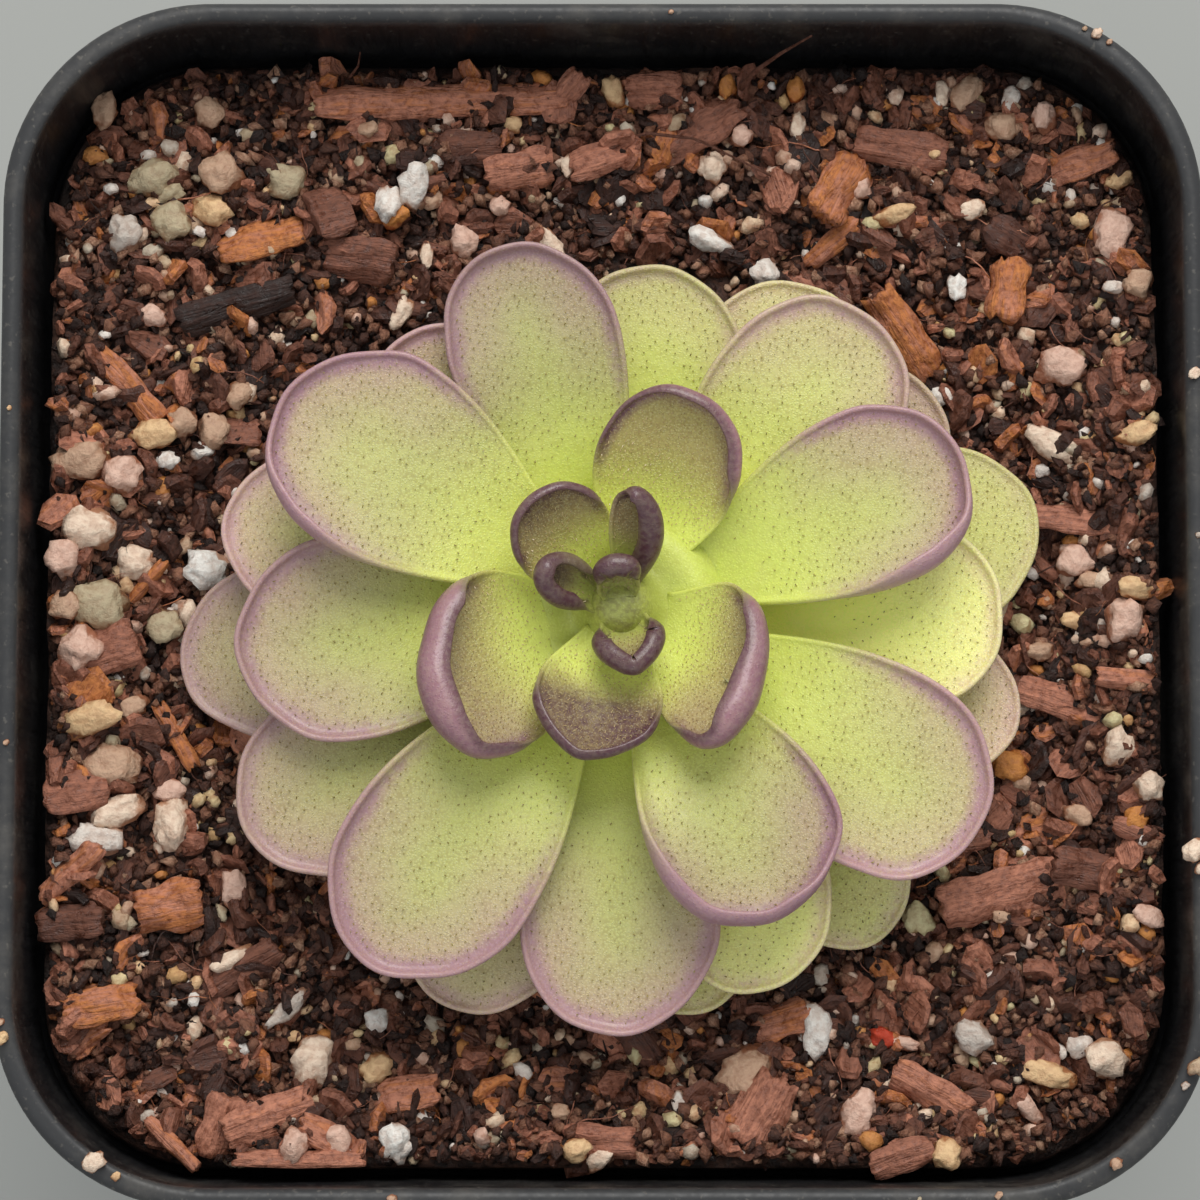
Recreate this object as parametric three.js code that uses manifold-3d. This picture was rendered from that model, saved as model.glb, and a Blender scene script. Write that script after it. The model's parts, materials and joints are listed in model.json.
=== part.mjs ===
// A butterwort rosette growing in a small square nursery pot.
// Millimetres, +Z up. The origin is on the ground, under the middle of the pot.
// Each leaf is one thin closed solid: a blade with an upturned margin.
// Young leaves lie over older ones, so every leaf sits a step higher than the next older one.

import * as THREE from 'three';
import { mergeVertices } from 'three/addons/utils/BufferGeometryUtils.js';
import Module from 'manifold-3d';

// ---- driving dimensions: pot

const rimHalf = 35;             // half the pot's width over the lip
const potHeight = 65;
const lipThickness = 1.15;
const bandHeight = 10;          // upright band under the lip
const wall = 1.0;
const floorThickness = 1.4;
const footHeight = 1.6;         // the floor is raised on a foot ring
const footHalf = 27;
const rimCorner = 12;           // corner radii at the lip and at the foot
const footCorner = 9;
const cornerSteps = 6;
const drainRadius = 2.75;
const drainReach = 15;          // corner drain holes, from the middle, along x and y
const notchWidth = 8;           // water gets out under the foot ring here

// ---- driving dimensions: soil and crown

const clearance = 0.3;          // between pieces that rest on each other
const soilLevel = 57.6;         // open soil between the rosette and the wall
const soilUnderLeaves = 56.6;
const soilBank = 2.6;           // the soil climbs this far towards the sides and the front
const rosetteRadius = 26.5;
const plantX = 1.0;             // the plant stands a little off the middle
const plantY = -0.5;
const crownRadius = 3.4;
const crownFoot = 50;
const crownSides = 12;
const grainCount = 84;
// the largest pieces that lie on the soil: place, length, width, direction in degrees
const barkSlabs = [
  { x: -9.6, y: 27.7, long: 15.5, wide: 2.4, way: 2 },
  { x: -20.5, y: 20.3, long: 6.0, wide: 3.0, way: 20 },
  { x: 26.5, y: 13.5, long: 5.0, wide: 4.0, way: 60 },
  { x: 22.5, y: -21.5, long: 8.5, wide: 3.6, way: 15 },
  { x: -24.5, y: -20.5, long: 4.4, wide: 3.6, way: 80 },
  { x: -25.6, y: -29.8, long: 6.0, wide: 2.2, way: -42 },
];
const pebbles = [
  { x: -26.2, y: 4.0, size: 3.4 },
  { x: -11.5, y: 26.5, size: 2.6 },
  { x: -29.0, y: 3.0, size: 4.0 },
  { x: 29.6, y: 20.0, size: 3.6 },
  { x: 29.0, y: -2.0, size: 3.0 },
  { x: -16.6, y: -27.5, size: 3.2 },
  { x: 28.4, y: -26.5, size: 3.4 },
];

// ---- driving dimensions: leaves

const bladeThickness = 0.62;
const baseShare = 0.11;         // half width of a grown leaf's base, as a share of its width
const youngBaseShare = 0.2;
const flarePower = 1.2;         // how late the blade widens from its base
const widestAt = 0.68;          // where a grown blade is widest, as a share of its length
const youngWidestAt = 0.58;
const sideShare = 0.45;         // share of the margin between the base and the widest place
const grownBase = 3.72;         // where grown leaves leave the crown
const grownFoot = 58.0;         // height of the oldest leaf's base
const grownStep = 0.21;         // each younger leaf sits this much higher on the crown
const grownRise = 1.2;          // how far the oldest leaf climbs from its base to levelRadius
const riseStep = 0.115;         // each younger leaf climbs this much more
const youngFoot = 63.1;         // base of the oldest of the young leaves
const youngStep = 0.34;
const levelRadius = 16;         // grown leaves are level here, and droop further out
const droop = 0.012;
const grownColumns = 7;         // steps along each half of the margin
const youngColumns = 9;
const spineRows = [0, 0.55, 1];

// The rosette from the youngest leaf to the oldest. way: direction in degrees from +X. reach:
// from the plant's axis to the tip. base: from the axis to the leaf's base. roll: how far the
// margin rolls over on the left, at the tip and on the right. curl: radius of that roll.
// sway: how far the tip bends to the left. lift: height above the leaf's place in the stack.
const leaves = [
  { way: 97, reach: 3.0, width: 2.8, base: 0.4, rise: 2.2, roll: [110, 130, 110], curl: 0.25 },
  { way: 282, reach: 4.5, width: 4.3, base: 0.6, rise: 2.8, roll: [150, 110, 150], curl: 0.4 },
  { way: 160, reach: 5.2, width: 3.2, base: 0.9, rise: 3.4, roll: [120, 140, 150], curl: 0.35 },
  { way: 75, reach: 6.9, width: 3.4, base: 1.2, rise: 4.0, roll: [120, 150, 150], curl: 0.4, sway: 0.9 },
  { way: 257, reach: 9.4, width: 7.4, base: 1.5, rise: 4.6, roll: [110, 120, 130], curl: 0.35, pinch: 0.3 },
  { way: 131, reach: 7.9, width: 6.0, base: 1.8, rise: 4.4, roll: [130, 150, 140], curl: 0.45 },
  { way: 334, reach: 9.7, width: 9.4, base: 2.1, rise: 4.6, roll: [140, 160, 140], curl: 0.6, sway: -2.2 },
  { way: 202, reach: 12.6, width: 10.3, base: 2.4, rise: 4.8, roll: [140, 160, 140], curl: 0.7, sway: 1.8 },
  { way: 71, reach: 12.8, width: 8.4, base: 2.7, rise: 4.8, roll: [80, 130, 150], curl: 0.45 },
  { way: 298, reach: 20.2, width: 11.0, roll: [75, 110, 150], curl: 0.7 },
  { way: 149, reach: 22.7, width: 12.0, roll: [140, 80, 60], curl: 0.65, lift: 0.4 },
  { way: 22.5, reach: 21.5, width: 10.6, roll: [60, 85, 150], curl: 0.7 },
  { way: 235, reach: 25.2, width: 11.8, roll: [65, 75, 85] },
  { way: 108.5, reach: 22.0, width: 10.0, roll: [65, 75, 65] },
  { way: 327.5, reach: 24.4, width: 11.8, roll: [70, 75, 65] },
  { way: 187, reach: 22.2, width: 11.8, roll: [65, 75, 65] },
  { way: 48, reach: 22.4, width: 11.2, roll: [60, 70, 75] },
  { way: 269.5, reach: 24.7, width: 11.5, roll: [60, 70, 65] },
  { way: 130, reach: 20.2, width: 10.4, roll: [55, 60, 55] },
  { way: 358.5, reach: 22.3, width: 11.0, roll: [60, 65, 55] },
  { way: 211.5, reach: 25.3, width: 11.4, roll: [55, 65, 55] },
  { way: 83, reach: 20.3, width: 10.4, roll: [55, 60, 55] },
  { way: 293, reach: 23.8, width: 10.4, roll: [50, 60, 50] },
  { way: 166, reach: 23.8, width: 10.6, roll: [50, 55, 50] },
  { way: 34, reach: 22.4, width: 10.4, roll: [50, 55, 50], lift: 0.4 },
  { way: 247, reach: 25.2, width: 10.4, roll: [45, 50, 45], lift: 0.25 },
  { way: 343.6, reach: 24.2, width: 10.2, roll: [45, 50, 45], lift: 0.3 },
  { way: 56.5, reach: 22.8, width: 10.4, roll: [45, 50, 45], lift: -0.2 },
  { way: 281, reach: 23.9, width: 9.6, roll: [40, 45, 40], lift: 0.2 },
  { way: 13.5, reach: 25.5, width: 11.0, roll: [40, 45, 40] },
  { way: 310, reach: 24.6, width: 9.4, roll: [40, 45, 40], lift: -0.45 },
  { way: 186, reach: 26.2, width: 11.2, roll: [40, 45, 40] },
  { way: 4, reach: 23.2, width: 9.0, roll: [35, 40, 35], lift: -0.35 },
];
const youngCount = 9;           // the first leaves of the list stand up and curl in

// ---- helpers

const degree = Math.PI / 180;
const lerp = (a, b, t) => a + (b - a) * t;
const clamp = (t) => Math.min(1, Math.max(0, t));
const smooth = (a, b, x) => {
  const t = clamp((x - a) / (b - a));
  return t * t * (3 - 2 * t);
};

// A small seeded random number maker, 0 to 1.
function seeded(seed) {
  let state = seed;
  return () => {
    state = (state * 1664525 + 1013904223) % 4294967296;
    return state / 4294967296;
  };
}

function geometryOf(points, triangles) {
  const geometry = new THREE.BufferGeometry();
  geometry.setAttribute('position', new THREE.Float32BufferAttribute(points.flat(), 3));
  geometry.setIndex(triangles.flat());
  return geometry;
}

// ---- joins and cuts

const wasm = await Module();
wasm.setup();

function toSolid(geometry) {
  const bare = geometry.clone();
  bare.deleteAttribute('normal');
  bare.deleteAttribute('uv');
  const welded = mergeVertices(bare, 1e-4);
  return new wasm.Manifold(new wasm.Mesh({
    numProp: 3,
    vertProperties: new Float32Array(welded.attributes.position.array),
    triVerts: new Uint32Array(welded.index.array),
  }));
}

function toGeometry(solid) {
  const mesh = solid.getMesh();
  const geometry = new THREE.BufferGeometry();
  geometry.setAttribute('position', new THREE.BufferAttribute(new Float32Array(mesh.vertProperties), 3));
  geometry.setIndex(new THREE.BufferAttribute(new Uint32Array(mesh.triVerts), 1));
  return geometry;
}

// ---- rounded-square lofts, for the pot and the soil

// One level ring of a rounded square, anticlockwise seen from above.
function squareRing(half, corner, z) {
  const ring = [];
  const middle = half - corner;
  for (let quarter = 0; quarter < 4; quarter++) {
    const cx = quarter === 0 || quarter === 3 ? middle : -middle;
    const cy = quarter < 2 ? middle : -middle;
    for (let step = 0; step <= cornerSteps; step++) {
      const angle = (quarter + step / cornerSteps) * Math.PI / 2;
      ring.push([cx + corner * Math.cos(angle), cy + corner * Math.sin(angle), z]);
    }
  }
  return ring;
}

// Skins a stack of rings, the first closed at its middle by a fan and the last as well.
function loft(rings, firstMiddle, lastMiddle) {
  const count = rings[0].length;
  const points = [...rings.flat(), firstMiddle, lastMiddle];
  const triangles = [];
  const first = rings.length * count;
  const topRing = (rings.length - 1) * count;
  for (let i = 0; i < count; i++) {
    const next = (i + 1) % count;
    for (let row = 0; row < rings.length - 1; row++) {
      const a = row * count + i;
      const b = row * count + next;
      triangles.push([a, b, b + count], [a, b + count, a + count]);
    }
    triangles.push([first, next, i], [first + 1, topRing + i, topRing + next]);
  }
  return geometryOf(points, triangles);
}

// Corner radius that goes evenly from the foot to the lip.
const cornerAt = (z, inset) => lerp(footCorner, rimCorner, z / potHeight) - inset;

// ---- pot

const bandFoot = potHeight - bandHeight;
const innerFloor = footHeight + floorThickness;
// half widths of the inside at the lip, at the foot of the band, below it, and at the floor
const innerProfile = [
  [rimHalf - lipThickness - 0.05, potHeight - 0.7],
  [rimHalf - lipThickness - 0.3, bandFoot + 0.6],
  [rimHalf - lipThickness - 1.35, bandFoot - 1],
  [footHalf - wall + 0.3, innerFloor + 0.7],
  [footHalf - wall - 0.3, innerFloor],
];

function innerHalfAt(z) {
  for (let i = 1; i < innerProfile.length; i++) {
    const [highHalf, high] = innerProfile[i - 1];
    const [lowHalf, low] = innerProfile[i];
    if (z >= low) return lerp(lowHalf, highHalf, Math.min(1, (z - low) / (high - low)));
  }
  return innerProfile.at(-1)[0];
}

function potGeometry() {
  const lipMiddle = rimHalf - lipThickness / 2;
  const outer = [
    [footHalf - 1.4, footHeight],
    [footHalf - 1.4, 0],
    [footHalf, 0],
    [footHalf + 0.3, 0.6],
    [rimHalf - 1.6, bandFoot - 0.4],
    [rimHalf - 0.5, bandFoot + 0.2],
    [rimHalf, potHeight - 0.7],
    [rimHalf - 0.2, potHeight - 0.2],
    [lipMiddle, potHeight],
    [rimHalf - lipThickness + 0.15, potHeight - 0.2],
  ];
  const rings = [...outer, ...innerProfile].map(([half, z], i) => {
    const inset = i < 2 ? 1.4 : i < outer.length ? 0 : wall;
    return squareRing(half, cornerAt(z, inset), z);
  });
  let pot = toSolid(loft(rings, [0, 0, footHeight], [0, 0, innerFloor]));
  const drain = new THREE.CylinderGeometry(drainRadius, drainRadius, 2 * innerFloor, 16).rotateX(Math.PI / 2);
  for (const [x, y] of [[0, 0], [1, 1], [-1, 1], [-1, -1], [1, -1]]) {
    pot = pot.subtract(toSolid(drain.clone().translate(x * drainReach, y * drainReach, footHeight)));
  }
  const notch = new THREE.BoxGeometry(notchWidth, 4, 2 * (footHeight - 0.4));
  for (let side = 0; side < 4; side++) {
    pot = pot.subtract(toSolid(notch.clone().translate(0, footHalf - 0.7, 0).rotateZ(side * Math.PI / 2)));
  }
  return toGeometry(pot);
}

// ---- leaf

// Fills in what the list leaves to the leaf's place in the rosette.
function leafSizes(entry, index) {
  const rank = leaves.length - 1 - index;        // 0 for the oldest
  const young = index < youngCount;
  return {
    base: grownBase,
    foot: young ? youngFoot + (youngCount - 1 - index) * youngStep : grownFoot + rank * grownStep,
    rise: grownRise + rank * riseStep,
    curl: 0.45,
    cup: young ? 0.5 : 0.1 + 0.02 * rank,
    lift: 0,
    sway: 0,
    pinch: 0,
    baseHalf: (young ? youngBaseShare : baseShare) * entry.width,
    widest: young ? youngWidestAt : widestAt,
    young,
    ...entry,
  };
}

// Margin of one half of the blade, seen from above: along the leaf, and out to the side.
// u goes from 0 at the base to 1 at the tip, and past 1 it runs back along the other side.
function marginAt(leaf, u, side) {
  if (u > 1) return marginAt(leaf, 2 - u, -side);
  const length = leaf.reach - leaf.base;
  const wide = leaf.widest * length;
  const half = leaf.width / 2;
  if (u < sideShare) {
    const x = wide * u / sideShare;
    const flare = Math.sin(0.5 * Math.PI * x / wide) ** flarePower;
    return [x, side * lerp(leaf.baseHalf, half, flare) + swayAt(leaf, x)];
  }
  const turn = 0.5 * Math.PI * (u - sideShare) / (1 - sideShare);
  const x = wide + (length - wide) * Math.sin(turn);
  const y = half * Math.cos(turn) * (1 - leaf.pinch * Math.sin(turn) ** 2);
  return [x, side * y + swayAt(leaf, x)];
}

// Sideways bend of a leaf, further along more.
const swayAt = (leaf, x) => leaf.sway * (x / (leaf.reach - leaf.base)) ** 2;

// Middle line of the blade opposite the margin at u.
function spineAt(leaf, u) {
  const length = leaf.reach - leaf.base;
  const wide = leaf.widest * length;
  const turn = (u - sideShare) / (1 - sideShare);
  const last = lerp(0.92 * wide, wide + 0.3 * (length - wide), turn);
  const x = u < sideShare ? 0.92 * wide * u / sideShare : last;
  return [x, swayAt(leaf, x)];
}

function heightAt(leaf, x, y) {
  const r = Math.hypot(x + leaf.base, y);
  if (leaf.young) {
    const way = clamp((r - leaf.base) / (leaf.reach - leaf.base));
    return leaf.foot + leaf.rise * way * (0.8 + 0.2 * way);
  }
  const way = clamp((r - leaf.base) / (levelRadius - leaf.base));
  const fall = Math.max(0, r - levelRadius);
  const climb = Math.sin(0.5 * Math.PI * way);
  return leaf.foot + leaf.rise * climb + leaf.lift * lerp(0.45, 1, climb) - droop * fall * fall;
}

// How far the margin is rolled over at u, in radians, on top of its slope.
function rollAt(leaf, u, side) {
  const [left, tip, right] = leaf.roll;
  const along = lerp(side > 0 ? left : right, tip, smooth(0.6, 1, u));
  return degree * lerp(12, along, smooth(0.04, 0.5, u));
}

// A point of the upper face. v goes from 0 on the middle line to 1 where the margin starts to
// roll, and on to 2 at the rim.
function bladePoint(leaf, u, v, side) {
  if (u > 1) return bladePoint(leaf, 2 - u, v, -side);
  const step = 1e-3;
  const [ax, ay] = marginAt(leaf, Math.max(0, u - step), side);
  const [bx, by] = marginAt(leaf, u + step, side);
  const [mx, my] = marginAt(leaf, u, side);
  const run = Math.hypot(bx - ax, by - ay);
  const inX = side * (by - ay) / run;            // unit vector from the margin into the blade
  const inY = -side * (bx - ax) / run;
  const outerCurl = leaf.curl + bladeThickness;
  const fullRoll = rollAt(leaf, u, side);
  const reachOut = outerCurl * Math.sin(Math.min(fullRoll, Math.PI / 2));
  const cx = mx + inX * reachOut;
  const cy = my + inY * reachOut;
  const [sx, sy] = spineAt(leaf, u);
  const cup = leaf.cup * lerp(0.3, 1, smooth(0, 0.5, u));
  const span = Math.max(0.4, Math.hypot(cx - sx, cy - sy));
  const probe = 0.1;
  const fall = heightAt(leaf, cx, cy) - heightAt(leaf, cx + probe * inX, cy + probe * inY);
  const slope = 2 * cup / span + fall / probe;
  const startRoll = Math.atan(slope);
  const qx = cx - inX * leaf.curl * Math.sin(startRoll);
  const qy = cy - inY * leaf.curl * Math.sin(startRoll);
  if (v <= 1) {
    const x = lerp(sx, qx, v);
    const y = lerp(sy, qy, v);
    return [x, y, heightAt(leaf, x, y) + cup * v * v];
  }
  const roll = lerp(startRoll, startRoll + fullRoll, v - 1);
  const rim = heightAt(leaf, qx, qy) + cup;
  return [
    cx - inX * leaf.curl * Math.sin(roll),
    cy - inY * leaf.curl * Math.sin(roll),
    rim + leaf.curl * (Math.cos(startRoll) - Math.cos(roll)),
  ];
}

// Upward normal of the upper face.
function bladeNormal(leaf, u, v, side) {
  const step = 2e-3;
  const point = (a, b) => new THREE.Vector3(...bladePoint(leaf, a, b, side));
  const low = v > 1 ? Math.max(1, v - step) : Math.max(0, v - step);
  const high = v > 1 ? Math.min(2, v + step) : Math.min(1, v + step);
  const along = point(u + step, v).sub(point(Math.max(0, u - step), v));
  const across = point(u, high).sub(point(u, low));
  return along.cross(across).multiplyScalar(side).normalize();
}

function leafGeometry(leaf) {
  const rollSteps = Math.max(...leaf.roll) > 100 ? 3 : 2;
  const rows = [...spineRows];
  for (let i = 1; i <= rollSteps; i++) rows.push(1 + i / rollSteps);
  const columns = leaf.young ? youngColumns : grownColumns;
  const top = [];
  const bottom = [];
  const ids = new Map();
  const idOf = (side, column, row) => {
    const shared = row === 0 || column === columns;
    const key = `${shared ? 0 : side} ${column} ${row}`;
    if (!ids.has(key)) {
      ids.set(key, top.length);
      const u = column / columns;
      const point = bladePoint(leaf, u, rows[row], side);
      const normal = bladeNormal(leaf, u, rows[row], side);
      top.push(point);
      bottom.push(point.map((value, i) => value - bladeThickness * normal.getComponent(i)));
    }
    return ids.get(key);
  };
  const faces = [];
  for (const side of [1, -1]) {
    for (let column = 0; column < columns; column++) {
      for (let row = 0; row < rows.length - 1; row++) {
        const a = idOf(side, column, row);
        const b = idOf(side, column + 1, row);
        const c = idOf(side, column + 1, row + 1);
        const d = idOf(side, column, row + 1);
        if (side > 0) faces.push([a, b, c], [a, c, d]);
        else faces.push([a, c, b], [a, d, c]);
      }
    }
  }
  const last = rows.length - 1;
  const edge = [];                               // anticlockwise round the whole blade
  for (let row = last; row > 0; row--) edge.push(idOf(1, 0, row));
  for (let row = 0; row < last; row++) edge.push(idOf(-1, 0, row));
  for (let column = 0; column <= columns; column++) edge.push(idOf(-1, column, last));
  for (let column = columns - 1; column > 0; column--) edge.push(idOf(1, column, last));
  const count = top.length;
  const triangles = [...faces, ...faces.map(([a, b, c]) => [a + count, c + count, b + count])];
  edge.forEach((a, i) => {
    const b = edge[(i + 1) % edge.length];
    triangles.push([b, a, a + count], [b, a + count, b + count]);
  });
  return geometryOf([...top, ...bottom], triangles);
}

// ---- crown

// Every leaf base faces this stem, one clearance away from it.
function crownGeometry(rosette) {
  const young = rosette.filter((leaf) => leaf.young).reverse();
  const profile = [
    [0, crownFoot + clearance],
    [crownRadius - 0.8, crownFoot + clearance],
    [crownRadius, crownFoot + 2],
    ...young.map((leaf) => [leaf.base - clearance, leaf.foot - bladeThickness]),
    [0, young.at(-1).foot - 0.4],
  ];
  const points = profile.map(([r, z]) => new THREE.Vector2(r, z));
  return new THREE.LatheGeometry(points, crownSides).rotateX(Math.PI / 2);
}

// ---- soil

// Lumps of the soil's surface: a few crossed waves.
const lumps = (x, y) => 0.35 * Math.sin(0.55 * x + 1.3) * Math.cos(0.48 * y - 0.4)
  + 0.25 * Math.sin(1.1 * x - 0.7 * y) + 0.15 * Math.cos(1.5 * y + 0.9 * x);

// The soil is low at the back wall and in the corners, and banked up at the other three walls.
function bankAt(x, y) {
  const side = smooth(26.5, 33, Math.abs(x)) * (x < 0 ? 0.7 : 1);
  const corners = smooth(20, 29, Math.min(Math.abs(x), Math.abs(y)));
  return soilBank * Math.max(side, smooth(26.5, 33, -y)) * (1 - smooth(14, 28, y)) * (1 - corners);
}

function soilHeight(x, y) {
  const open = smooth(rosetteRadius - 1.5, rosetteRadius + 2.5, Math.hypot(x - plantX, y - plantY));
  return lerp(soilUnderLeaves, soilLevel, open) + lerp(0.25, 1, open) * lumps(x, y) + bankAt(x, y);
}

// A flat bark chip or a rounded grain, half sunk in the soil.
function grainGeometry({ x, y, long, wide, way }, random, bark) {
  const grain = bark ? new THREE.BoxGeometry(long, wide, 0.6 * wide)
    : new THREE.IcosahedronGeometry(0.5 * wide, 0);
  const lean = 2.4 / (long + 2);                 // long chips lie flatter
  grain.rotateX((random() - 0.5) * 0.8);
  grain.rotateY((random() - 0.5) * lean);
  grain.rotateZ(way * degree);
  return grain.translate(x, y, soilHeight(x, y) + 0.12 * wide);
}

function soilGeometry() {
  const low = innerFloor + clearance;
  const half = (z) => innerHalfAt(z) - clearance - 0.1;
  const corner = (z) => cornerAt(z, wall + 0.4);
  const levels = [low, innerFloor + 0.9, bandFoot - 1.1, soilUnderLeaves - 0.6];
  const rings = levels.map((z) => squareRing(half(z), corner(z), z));
  for (const share of [0.985, 0.9, 0.8, 0.68, 0.5, 0.3]) {
    const ring = squareRing(share * half(soilLevel), share * corner(soilLevel), 0);
    rings.push(ring.map(([x, y]) => [x, y, soilHeight(x, y) - (share > 0.95 ? 0.4 : 0)]));
  }
  let soil = toSolid(loft(rings, [0, 0, low], [0, 0, soilHeight(0, 0)]));
  const random = seeded(41);
  const parts = barkSlabs.map((slab) => grainGeometry(slab, random, true));
  for (const { x, y, size } of pebbles) {
    parts.push(grainGeometry({ x, y, long: size, wide: size, way: 0 }, random, false));
  }
  const limit = innerHalfAt(soilLevel) - clearance;
  for (let placed = 0; placed < grainCount;) {
    const long = 2.6 + 3.2 * random();
    const room = limit - 0.62 * long;
    const x = room * (2 * random() - 1);
    const y = room * (2 * random() - 1);
    const corner = Math.hypot(Math.max(0, Math.abs(x) - 18), Math.max(0, Math.abs(y) - 18));
    if (corner > room - 18 || Math.hypot(x - plantX, y - plantY) < rosetteRadius + 0.5) continue;
    const bark = random() < 0.5;
    const wide = long * (bark ? 0.5 : 0.62);
    parts.push(grainGeometry({ x, y, long, wide, way: 360 * random() }, random, bark));
    placed++;
  }
  for (const part of parts) soil = soil.add(toSolid(part));
  soil = soil.decompose().reduce((a, b) => (a.volume() > b.volume() ? a : b));
  const hole = new THREE.CylinderGeometry(crownRadius + clearance, crownRadius + clearance, 16, 20);
  hole.rotateX(Math.PI / 2).translate(plantX, plantY, crownFoot + 8);
  return toGeometry(soil.subtract(toSolid(hole)));
}

// ---- materials and the finished group

const finish = (color, roughness) => new THREE.MeshStandardMaterial({ color, roughness, metalness: 0 });

const plant = new THREE.Group();
const object = new THREE.Group();

function addMesh(parent, name, geometry, material) {
  const mesh = new THREE.Mesh(geometry, material);
  mesh.name = name;
  parent.add(mesh);
  return mesh;
}

addMesh(object, 'pot', potGeometry(), finish(0x2c2e30, 0.5));
addMesh(object, 'soil', soilGeometry(), finish(0x4a3022, 0.9));
const rosette = leaves.map(leafSizes);
addMesh(plant, 'crown', crownGeometry(rosette), finish(0xb6c75a, 0.5));
rosette.forEach((leaf, index) => {
  const number = String(index + 1).padStart(2, '0');
  const colour = leaf.young ? 0x6d5560 : 0xb8c070;
  const mesh = addMesh(plant, `leaf_${number}`, leafGeometry(leaf), finish(colour, 0.45));
  mesh.geometry.translate(leaf.base, 0, 0);
  mesh.rotation.z = leaf.way * degree;
});
plant.position.set(plantX, plantY, 0);
object.add(plant);

export default object;
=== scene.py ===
import json
import math
import random

import bmesh
import bpy
import numpy as np
from mathutils import Euler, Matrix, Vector, noise

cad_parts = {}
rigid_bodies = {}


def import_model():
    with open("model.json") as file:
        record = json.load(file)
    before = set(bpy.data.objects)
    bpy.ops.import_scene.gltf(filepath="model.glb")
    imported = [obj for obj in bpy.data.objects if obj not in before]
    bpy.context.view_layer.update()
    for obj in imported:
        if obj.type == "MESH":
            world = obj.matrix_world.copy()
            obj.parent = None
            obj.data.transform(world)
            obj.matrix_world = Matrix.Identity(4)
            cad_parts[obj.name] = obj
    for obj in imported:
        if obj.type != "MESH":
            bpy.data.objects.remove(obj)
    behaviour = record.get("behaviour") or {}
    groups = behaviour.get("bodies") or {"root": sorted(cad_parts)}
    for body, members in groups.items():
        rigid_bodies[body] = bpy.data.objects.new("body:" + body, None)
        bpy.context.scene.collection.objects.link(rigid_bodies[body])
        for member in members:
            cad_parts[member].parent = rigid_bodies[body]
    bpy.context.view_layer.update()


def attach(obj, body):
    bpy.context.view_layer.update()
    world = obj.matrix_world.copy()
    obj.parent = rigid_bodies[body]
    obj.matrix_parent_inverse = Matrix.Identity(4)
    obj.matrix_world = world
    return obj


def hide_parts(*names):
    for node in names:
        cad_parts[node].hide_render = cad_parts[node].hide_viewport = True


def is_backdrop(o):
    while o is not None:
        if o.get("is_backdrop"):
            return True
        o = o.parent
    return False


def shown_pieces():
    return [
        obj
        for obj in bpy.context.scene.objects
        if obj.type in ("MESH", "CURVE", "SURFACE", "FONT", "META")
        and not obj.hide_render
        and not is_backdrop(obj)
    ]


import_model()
scene = bpy.context.scene
mm = 0.001
plantX, plantY = 1.0, -0.5              # the plant stands this far off the pot's middle, mm


# small tools

def lerp(a, b, t):
    return a + (b - a) * t


def smooth(a, b, x):
    t = np.clip((x - a) / (b - a), 0.0, 1.0)
    return t * t * (3 - 2 * t)


def paint(red, green, blue):            # a screen colour, 0 to 255, as Blender's linear colour
    def linear(part):
        part /= 255
        return part / 12.92 if part <= 0.04045 else ((part + 0.055) / 1.055) ** 2.4
    return (linear(red), linear(green), linear(blue), 1.0)


def darker(colour, share):
    return tuple(share * c for c in colour[:3]) + (1,)


def makePiece(name, points, faces, finish=None, marks=None, roundShade=True):
    mesh = bpy.data.meshes.new(name)
    mesh.from_pydata([tuple(p) for p in points], [], faces)
    mesh.polygons.foreach_set("use_smooth", [roundShade] * len(mesh.polygons))
    for label, values in (marks or {}).items():
        layer = mesh.attributes.new(label, "FLOAT", "POINT")
        layer.data.foreach_set("value", np.asarray(values, float))
    if finish:
        mesh.materials.append(finish)
    piece = bpy.data.objects.new(name, mesh)
    scene.collection.objects.link(piece)
    return piece


def workOn(piece, step):                # runs one step of mesh work on the piece
    made = bmesh.new()
    made.from_mesh(piece.data)
    step(made)
    made.to_mesh(piece.data)
    made.free()


def tidyFaces(piece):                   # turns every face outwards
    workOn(piece, lambda made: bmesh.ops.recalc_face_normals(made, faces=made.faces))


def takeShape(piece):                   # the modifiers' result becomes the piece's own mesh
    bpy.context.view_layer.update()
    graph = bpy.context.evaluated_depsgraph_get()
    mesh = bpy.data.meshes.new_from_object(piece.evaluated_get(graph), preserve_all_data_layers=True,
                                           depsgraph=graph)
    piece.modifiers.clear()
    piece.data = mesh


def ringFaces(rings, count):            # quads between level rings of the same count, outside to the right
    faces = []
    for row in range(rings - 1):
        for i in range(count):
            j = (i + 1) % count
            a, b = row * count + i, row * count + j
            faces.append((a, b, b + count, a + count))
    return faces


def skinRings(rings, firstMiddle, lastMiddle):   # a closed skin over the rings, with a fan at each end
    count = len(rings[0])
    points = [p for ring in rings for p in ring] + [firstMiddle, lastMiddle]
    faces = ringFaces(len(rings), count)
    first, last = len(points) - 2, (len(rings) - 1) * count
    for i in range(count):
        j = (i + 1) % count
        faces.append((first, j, i))
        faces.append((first + 1, last + i, last + j))
    return points, faces


def squareReach(angle, half, corner):   # from the middle to a rounded square, along each angle
    dx, dy = np.abs(np.cos(angle)), np.abs(np.sin(angle))
    big, small = np.maximum(dx, dy), np.minimum(dx, dy)
    flat = half / big
    middle = half - corner
    along = middle * (big + small)
    bend = along + np.sqrt(np.maximum(0, along ** 2 - (2 * middle ** 2 - corner ** 2)))
    return np.where(flat * small <= middle, flat, bend)


# node tools, for shaders and for geometry

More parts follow.
